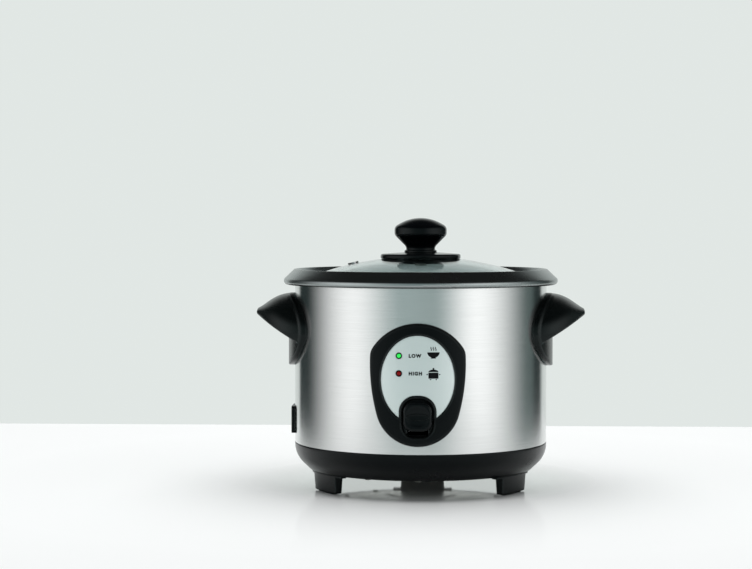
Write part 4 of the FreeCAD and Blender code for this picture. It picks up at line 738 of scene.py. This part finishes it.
def make_screw_tree():
    """A screw, head down, on every point."""
    tree, start, end = new_tree("PanHeadScrew", {
        "Shank Radius": NUMBER, "Shank Length": NUMBER, "Head Radius": NUMBER, "Head Height": NUMBER})
    length = start.outputs["Shank Length"]
    shank = add_node(tree, "GeometryNodeMeshCylinder", Vertices=SHANK_CORNERS)
    tree.links.new(start.outputs["Shank Radius"], shank.inputs["Radius"])
    tree.links.new(length, shank.inputs["Depth"])
    head = screw_head(tree, start.outputs["Head Radius"], start.outputs["Head Height"])
    join = tree.nodes.new("GeometryNodeJoinGeometry")
    raised = moved(tree, shank.outputs["Mesh"], upright(tree, length, 0.5))
    tree.links.new(raised, join.inputs["Geometry"])
    tree.links.new(head, join.inputs["Geometry"])
    spread = tree.nodes.new("GeometryNodeInstanceOnPoints")
    tree.links.new(start.outputs["Geometry"], spread.inputs["Points"])
    tree.links.new(join.outputs["Geometry"], spread.inputs["Instance"])
    finish_tree(tree, end, spread.outputs["Instances"], finishes["plated_steel"])
    return tree


screw_tree = make_screw_tree()
print("tree:", screw_tree.name)

# %% [markdown]
# ## Screws in their places
#
# Three screws go up through the base into the tie rods, three hold the bottom cover to the base, and
# three go up through the liner's floor into the heating plate. Each set stands on a circle about the
# drum's axis. The heights come from the cover and the liner, so that the heads sit against the faces
# which they press on.


# %% Screws in their places
SHANK_RADIUS = 0.0017
HEAD_RADIUS = 0.0034
HEAD_HEIGHT = 0.002
BASE_SHANK = 0.006
TIE_CIRCLE = 0.087
COVER_CIRCLE = 0.0796
HEATER_CIRCLE = 0.062
THIRDS = (0, 120, 240)
THIRDS_TURNED = (30, 150, 270)


def ring_of_points(radius, angles, height):
    """Points on a circle about the drum's axis, with angles in degrees."""
    turns = [math.radians(angle) for angle in angles]
    return [(radius * math.cos(turn), radius * math.sin(turn), height) for turn in turns]


cover_low, cover_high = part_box("bottom_cover")
liner_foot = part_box("inner_liner")[0][2]
base_points = ring_of_points(TIE_CIRCLE, THIRDS, cover_high[2])
base_points += ring_of_points(COVER_CIRCLE, THIRDS_TURNED, cover_low[2])
screw_sets = {
    "base_screws": (base_points, BASE_SHANK),
    "heater_screws": (ring_of_points(HEATER_CIRCLE, THIRDS, liner_foot),
                      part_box("heater_screws")[1][2] - liner_foot),
}
for node, (points, length) in screw_sets.items():
    mesh = run_tree(node + "_cross", screw_tree, points, {
        "Shank Radius": SHANK_RADIUS, "Shank Length": length,
        "Head Radius": HEAD_RADIUS, "Head Height": HEAD_HEIGHT})
    finished_object(node + "_dressed", mesh, node)
    print(node, "screws:", len(points))

# %% [markdown]
# ## Printing on the plate
#
# The silver plate carries a short word and a sign beside each lamp. They are printed, so they are
# thin skins. A projected image would blur close up, so each one is a flat mesh, as if on paper, and
# we roll the paper onto the plate's radius. Long edges are cut first, so that they can bend.


# %% Printing on the plate
PRINT_LIFT = 0.00006
LONG_EDGE = 0.0016


def rolled(x, z, lift):
    """A point of a flat drawing seen from the front, rolled onto the plate."""
    reach = plate_radius + lift
    angle = x / plate_radius
    return (reach * math.sin(angle), -reach * math.cos(angle), z)


def print_on_plate(name, mesh, x, z):
    """Rolls a flat mesh in XY onto a place of the plate, with its own Y as up and Z as lift."""
    work = bmesh.new()
    work.from_mesh(mesh)
    long_edges = [edge for edge in work.edges if edge.calc_length() > LONG_EDGE]
    bmesh.ops.subdivide_edges(work, edges=long_edges, cuts=2)
    bmesh.ops.triangulate(work, faces=work.faces)
    work.to_mesh(mesh)
    work.free()
    for vertex in mesh.vertices:
        flat = vertex.co
        vertex.co = rolled(flat.x + x, flat.y + z, flat.z + PRINT_LIFT)
    mesh.update()
    paint(mesh, sign_ink)
    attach(add_object(name, mesh), "housing")


print("prints lie at radius %.5f m" % (plate_radius + PRINT_LIFT))

# %% [markdown]
# ## The words
#
# The words are plain settings in bold, wide-set capitals. A text object gives their outlines. It is
# thickened a little, made a mesh, and centred up and down, so that it can stand at a lamp's height.


# %% The words
CAPITAL_SHARE = 0.69
BOLDNESS = 0.10
LETTER_SPACE = 1.28
WORD_HEIGHT = 0.0027
WORD_START = -0.0075


def word_mesh(text, height):
    """A word as a flat mesh, centred up and down on its own capitals."""
    curve = bpy.data.curves.new(text + "_word", "FONT")
    curve.body = text
    curve.size = height / CAPITAL_SHARE
    curve.align_x = "LEFT"
    curve.offset = height * BOLDNESS
    curve.space_character = LETTER_SPACE
    holder = add_object(text + "_holder", curve)
    mesh = evaluated_mesh(holder)
    bpy.data.objects.remove(holder)
    heights = [vertex.co.y for vertex in mesh.vertices]
    middle = (min(heights) + max(heights)) / 2
    for vertex in mesh.vertices:
        vertex.co.y -= middle
    return mesh


print_on_plate("low_word", word_mesh("LOW", WORD_HEIGHT), WORD_START, warm_height)
print_on_plate("high_word", word_mesh("HIGH", WORD_HEIGHT), WORD_START, cook_height)
print("words of %.1f mm" % (1000 * WORD_HEIGHT))

# %% [markdown]
# ## The signs
#
# The signs are a bowl with three curls of steam and a pot with a lid, ears and feet. They are drawn
# as outlines about their own middles: arcs, boxes, and lines with the width of a pen.


# %% Drawing helpers
def shape_mesh(name, outlines):
    """Flat faces from outlines of points."""
    mesh = bpy.data.meshes.new(name)
    points = []
    faces = []
    for outline in outlines:
        faces.append(list(range(len(points), len(points) + len(outline))))
        points += [(x, y, 0) for x, y in outline]
    mesh.from_pydata(points, [], faces)
    return mesh


def four_corners(left, right, low, high):
    """The outline of a box."""
    return [(left, low), (right, low), (right, high), (left, high)]


def arc_points(x, y, radius_x, radius_y, begin, end, steps):
    """Points on part of an ellipse, with angles in degrees."""
    found = []
    for step in range(steps + 1):
        angle = math.radians(begin + (end - begin) * step / steps)
        found.append((x + radius_x * math.cos(angle), y + radius_y * math.sin(angle)))
    return found


def stroke(points, width):
    """A line of points drawn with a pen of a width, as strips of four corners."""
    strips = []
    for first, last in zip(points, points[1:]):
        along = Vector((last[0] - first[0], last[1] - first[1])).normalized()
        side = Vector((-along.y, along.x)) * (width / 2)
        strips.append([(first[0] + side.x, first[1] + side.y), (first[0] - side.x, first[1] - side.y),
                       (last[0] - side.x, last[1] - side.y), (last[0] + side.x, last[1] + side.y)])
    return strips


print("points on a half circle of 4 steps:", len(arc_points(0, 0, 1, 1, 0, 180, 4)))

# %% The signs
SIGN_MIDDLE = 0.0132
BOWL_RISE = 0.0030
STEAM_STEPS = 8
STEAM_SWAY = 0.00035
STEAM_FOOT = 0.0014
STEAM_HEIGHT = 0.0030
STEAM_PEN = 0.00075
STEAM_PLACES = (-0.0019, 0.0, 0.0019)
POT_HALF = 0.0042


def steam(x):
    """One curl of steam, as points of a wave that rises."""
    steps = range(STEAM_STEPS + 1)
    sways = [STEAM_SWAY * math.sin(2 * math.pi * step / STEAM_STEPS) for step in steps]
    return [(x + sways[step], STEAM_FOOT + STEAM_HEIGHT * step / STEAM_STEPS) for step in steps]


def bowl_sign():
    """A half-round bowl on a foot, with steam over it."""
    shapes = [arc_points(0, 0, 0.0052, 0.0046, 180, 360, 20)]
    shapes.append([(-0.0022, -0.0052), (0.0022, -0.0052), (0.0018, -0.0040), (-0.0018, -0.0040)])
    for x in STEAM_PLACES:
        shapes += stroke(steam(x), STEAM_PEN)
    return shapes


def pot_sign():
    """A pot with a domed lid, a knob, two ears and two feet."""
    shapes = [four_corners(-POT_HALF, POT_HALF, -POT_HALF, 0.0008)]
    shapes.append(arc_points(0, 0.0013, POT_HALF, 0.0021, 0, 180, 16))
    shapes.append(arc_points(0, 0.0040, 0.0008, 0.0008, 0, 360, 12)[:-1])
    for side in (-1, 1):
        shapes.append(four_corners(side * 0.0046, side * 0.0058, -0.0012, -0.0004))
        shapes.append(four_corners(side * 0.0018, side * 0.0030, -0.0054, -0.0046))
    return shapes


print_on_plate("bowl_sign", shape_mesh("bowl_sign", bowl_sign()), SIGN_MIDDLE, warm_height + BOWL_RISE)
print_on_plate("pot_sign", shape_mesh("pot_sign", pot_sign()), SIGN_MIDDLE, cook_height)
print("outlines: bowl %d, pot %d" % (len(bowl_sign()), len(pot_sign())))

# %% [markdown]
# ## The lens mark on the paddle
#
# The paddle's dish carries a raised outline like a narrow lens, which tells the finger where to
# press. A bump in the material would vanish at its edge, so it is a thin ring of its own. It lies on
# the curve of the dish, which we find by casting rays at the smooth copy of the paddle.


# %% The dish of the paddle
RAY_START = -0.2
paddle = smooth_pieces["lever_paddle"]
paddle_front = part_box("lever_paddle")[0][1]
paddle_middle = middle_height("lever_paddle")


def dish_reach(x, z):
    """Where the paddle's face is along Y at a place, by a ray from the front."""
    hit, place, _, _ = paddle.ray_cast(Vector((x, RAY_START, z)), Vector((0, 1, 0)))
    return place.y if hit else paddle_front


dish_depth = dish_reach(0.0, paddle_middle) - paddle_front
print("the dish lies %.1f mm behind the paddle's front" % (1000 * dish_depth))

# %% Lens mark
LENS_HALF_WIDTH = 0.0096
LENS_HALF_HEIGHT = 0.0028
LENS_PEN = 0.0008
LENS_LIFT = 0.0003
LENS_SINK = 0.00005
LENS_STEPS = 48
LENS_SECTION = (
    (-LENS_PEN / 2, 0.0), (-LENS_PEN / 4, LENS_LIFT), (LENS_PEN / 4, LENS_LIFT), (LENS_PEN / 2, 0.0))


def lens_mesh():
    """A closed ring with a low section that follows the dish."""
    corners = []
    faces = []
    sides = len(LENS_SECTION)
    for step in range(LENS_STEPS):
        angle = 2 * math.pi * step / LENS_STEPS
        for grow, rise in LENS_SECTION:
            x = (LENS_HALF_WIDTH + grow) * math.cos(angle)
            z = paddle_middle + (LENS_HALF_HEIGHT + grow) * math.sin(angle)
            corners.append((x, dish_reach(x, z) - rise + LENS_SINK, z))
    for step in range(LENS_STEPS):
        here = sides * step
        ahead = sides * ((step + 1) % LENS_STEPS)
        for side in range(sides):
            other = (side + 1) % sides
            faces.append((here + side, ahead + side, ahead + other, here + other))
    mesh = bpy.data.meshes.new("lens_mark")
    mesh.from_pydata(corners, [], faces)
    work = bmesh.new()
    work.from_mesh(mesh)
    bmesh.ops.recalc_face_normals(work, faces=work.faces)
    work.to_mesh(mesh)
    work.free()
    mesh.polygons.foreach_set("use_smooth", [True] * len(mesh.polygons))
    return mesh


lens_mark = add_object("lens_mark", lens_mesh())
paint(lens_mark.data, finishes["gloss_black"])
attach(lens_mark, "cook_lever")
print("lens mark at height %.4f m" % paddle_middle)

# %% [markdown]
# ## Water marks in the pot
#
# Inside the pot a ladder of short lines shows how much water to pour, with a number at every second
# line. The ladder repeats one tick along a path, which is a job for Geometry Nodes. The numbers are
# words that are rolled onto the pot's back wall.


# %% Water marks
POT_INSIDE = 0.097
MARK_LIFT = 0.00005
MARK_REACH = POT_INSIDE - MARK_LIFT
MARK_COUNT = 8
FIRST_MARK = 0.020
MARK_STEP = 0.009
TICK_SIZE = (0.009, 0.0002, 0.0007)
DIGIT_HEIGHT = 0.0052
DIGIT_START = 0.0065
pot_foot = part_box("inner_pot")[0][2]
mark_heights = [pot_foot + FIRST_MARK + MARK_STEP * step for step in range(MARK_COUNT)]


def make_tick_tree():
    """A small bar on every point."""
    tree, start, end = new_tree("WaterTicks", {"Tick Size": ARROW})
    tick = tree.nodes.new("GeometryNodeMeshCube")
    tree.links.new(start.outputs["Tick Size"], tick.inputs["Size"])
    spread = tree.nodes.new("GeometryNodeInstanceOnPoints")
    tree.links.new(start.outputs["Geometry"], spread.inputs["Points"])
    tree.links.new(tick.outputs["Mesh"], spread.inputs["Instance"])
    finish_tree(tree, end, spread.outputs["Instances"], mark_grey)
    return tree


def number_on_wall(digit, height):
    """A number on the pot's back wall, facing the middle of the pot."""
    mesh = word_mesh(digit, DIGIT_HEIGHT)
    for vertex in mesh.vertices:
        angle = (vertex.co.x + DIGIT_START) / POT_INSIDE
        vertex.co = (MARK_REACH * math.sin(angle), MARK_REACH * math.cos(angle), vertex.co.y + height)
    paint(mesh, mark_grey)
    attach(add_object("water_number_" + digit, mesh), "pot")


tick_points = [(0.0, MARK_REACH, height) for height in mark_heights]
tick_mesh = run_tree("water_ticks", make_tick_tree(), tick_points, {"Tick Size": TICK_SIZE})
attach(add_object("water_ticks", tick_mesh), "pot")
for number, height in enumerate(mark_heights[::2], 1):
    number_on_wall(str(number), height)
print("water marks:", len(mark_heights))

# %% [markdown]
# ## Table
#
# The cooker stands on a white table. Where the cooker stands the table shines like a mirror, and the
# shine fades outwards: a painted reflection, so that the feet are mirrored and the front of the table
# is plain white, which also deepens the shade under the base. Two materials would show a seam, so
# the distance from the middle drives the shine of one. The floor beyond the table is hidden from
# mirror rays, and the steel shows the studio there instead.


# %% Table
MIRROR_PATCH_MIDDLE = (0.0, 0.05, 0.0)
MIRROR_SHINE_STOPS = ((0.0, 0.70), (0.108, 0.70), (0.160, 0.15), (0.42, 0.0))
TABLE_SIDE = 0.42
TABLE_FRONT = -0.5
TABLE_BACK = 0.5
FLOOR_SIDE = 2.6
FLOOR_FRONT = -3.0
FLOOR_FACES = [(4, 5, 1, 0), (5, 6, 2, 1), (7, 4, 0, 3)]


def make_table_finish():
    """White with a painted reflection that fades with the distance from its middle."""
    finish, tree, shader = new_finish("TableTop", (0.92, 0.93, 0.93), Roughness=0.05,
                                      Specular_IOR_Level=0.0)
    place = tree.nodes.new("ShaderNodeTexCoord")
    reach = tree.nodes.new("ShaderNodeVectorMath")
    reach.operation = "DISTANCE"
    reach.inputs[1].default_value = MIRROR_PATCH_MIDDLE
    tree.links.new(place.outputs["Object"], reach.inputs[0])
    # The shine near the cooker is a painted reflection, and it leaves less white for the shade under the
    # base.
    tree.links.new(add_ramp(tree, reach.outputs["Value"], MIRROR_SHINE_STOPS), shader.inputs["Metallic"])
    return finish


def flat_piece(name, corners, faces, finish):
    """A flat piece of the studio, marked as stage."""
    mesh = bpy.data.meshes.new(name)
    mesh.from_pydata([(x, y, 0) for x, y in corners], [], faces)
    paint(mesh, finish)
    piece = add_object(name, mesh)
    piece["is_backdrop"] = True
    return piece


table_finish = make_table_finish()
inner = four_corners(-TABLE_SIDE, TABLE_SIDE, TABLE_FRONT, TABLE_BACK)
outer = four_corners(-FLOOR_SIDE, FLOOR_SIDE, FLOOR_FRONT, TABLE_BACK)
table = flat_piece("table_top", inner, [(0, 1, 2, 3)], table_finish)
floor = flat_piece("floor_round_table", inner + outer, FLOOR_FACES, table_finish)
floor.visible_glossy = False
print("table:", tuple(round(size, 2) for size in table.dimensions))

# %% [markdown]
# ## Light
#
# Brushed steel shows what stands round it as upright bands, so the studio is a tent: a pale wall
# behind, dark strips beside the wall, a bright soft screen at each side of the front, and a grey
# curtain between the screens. Real screens would be many lamps and panels to set up. The world can
# paint them all by compass direction, with soft steps, and lets them fade upwards into a dark roof,
# which keeps the black plastic black. Far below the table it is plain. One wide lamp overhead, which
# no mirror shows, lights the table.


# %% World tent
WALL_COLOR = (0.755, 0.80, 0.78)
SHADE = (0.030, 0.042, 0.042)
ROOF_COLOR = (0.02, 0.02, 0.02)
# A row gives a compass angle in degrees, with the front at 0, and a colour or a grey.
TENT = (
    (-180, WALL_COLOR), (-147, WALL_COLOR), (-140, SHADE), (-126, SHADE), (-62, 1.42),
    (-14, (0.45, 0.555, 0.55)), (12, (0.41, 0.505, 0.50)), (53, 1.55), (118, (0.13, 0.17, 0.165)),
    (132, SHADE), (140, SHADE), (147, WALL_COLOR), (180, WALL_COLOR))
# A row gives the angles above the horizon between which the tent fades, and what it fades to.
FADES = ((14, 48, ROOF_COLOR), (-11, -20, WALL_COLOR))


def make_world():
    """The tent round the cooker, painted by compass direction and by height."""
    world = bpy.data.worlds.new("Tent")
    bpy.context.scene.world = world
    world.use_nodes = True
    tree = world.node_tree
    place = tree.nodes.new("ShaderNodeTexCoord")
    split = tree.nodes.new("ShaderNodeSeparateXYZ")
    tree.links.new(place.outputs["Generated"], split.inputs["Vector"])
    away = add_math(tree, "MULTIPLY", split.outputs["Y"], -1.0)
    compass = add_math(tree, "ARCTAN2", split.outputs["X"], away)
    turn = add_range(tree, compass, -math.pi, math.pi)
    color = add_ramp(tree, turn, [((angle + 180) / 360, level) for angle, level in TENT], "EASE")
    for near, far, beyond in FADES:
        fade = add_range(tree, split.outputs["Z"], math.sin(math.radians(near)),
                         math.sin(math.radians(far)), "SMOOTHSTEP")
        color = add_mix(tree, fade, color, beyond)
    tree.links.new(color, tree.nodes["Background"].inputs["Color"])


make_world()
print("tent stops:", len(TENT))

# %% Roof screen
LAMP_PLACE = Vector((0.0, 0.2, 2.2))
LAMP_TARGET = Vector((0.0, 0.0, 0.12))
LAMP_SIDE = 3.0
LAMP_POWER = 68
lamp = bpy.data.lights.new("roof_screen", "AREA")
lamp.shape = "RECTANGLE"
lamp.size = LAMP_SIDE
lamp.size_y = LAMP_SIDE
lamp.energy = LAMP_POWER
roof_screen = add_object("roof_screen", lamp)
roof_screen.location = LAMP_PLACE
roof_screen.rotation_euler = (LAMP_TARGET - LAMP_PLACE).to_track_quat("-Z", "Y").to_euler()
roof_screen.visible_glossy = False
print("lamp:", roof_screen.name, lamp.energy, "W")

# %% [markdown]
# ## Camera
#
# The photograph was taken from just above the rim, nearly level, with a long lens. The camera
# stands a little to the right of the front and the cooker sits a little right of the middle.

# %% Camera
CAMERA_REACH = 1.74
CAMERA_HEIGHT = 0.241
CAMERA_SIDE = math.radians(1.2)
CAMERA_TURN = math.radians(1.31)
CAMERA_TILT = math.radians(90 - 2.01)
camera_data = bpy.data.cameras.new("Camera")
camera_data.sensor_width = 36.0
camera_data.lens = 93.4
camera = add_object("Camera", camera_data)
camera.location = (CAMERA_REACH * math.sin(CAMERA_SIDE), -CAMERA_REACH * math.cos(CAMERA_SIDE), CAMERA_HEIGHT)
camera.rotation_euler = (CAMERA_TILT, 0.0, CAMERA_SIDE + CAMERA_TURN)
bpy.context.scene.camera = camera
bpy.context.scene.view_settings.view_transform = "Standard"
print("camera at", tuple(round(value, 3) for value in camera.location))

# %% Size of the dressed object
bpy.context.view_layer.update()
low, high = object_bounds()
print("size", [round(b - a, 4) for a, b in zip(low, high)])
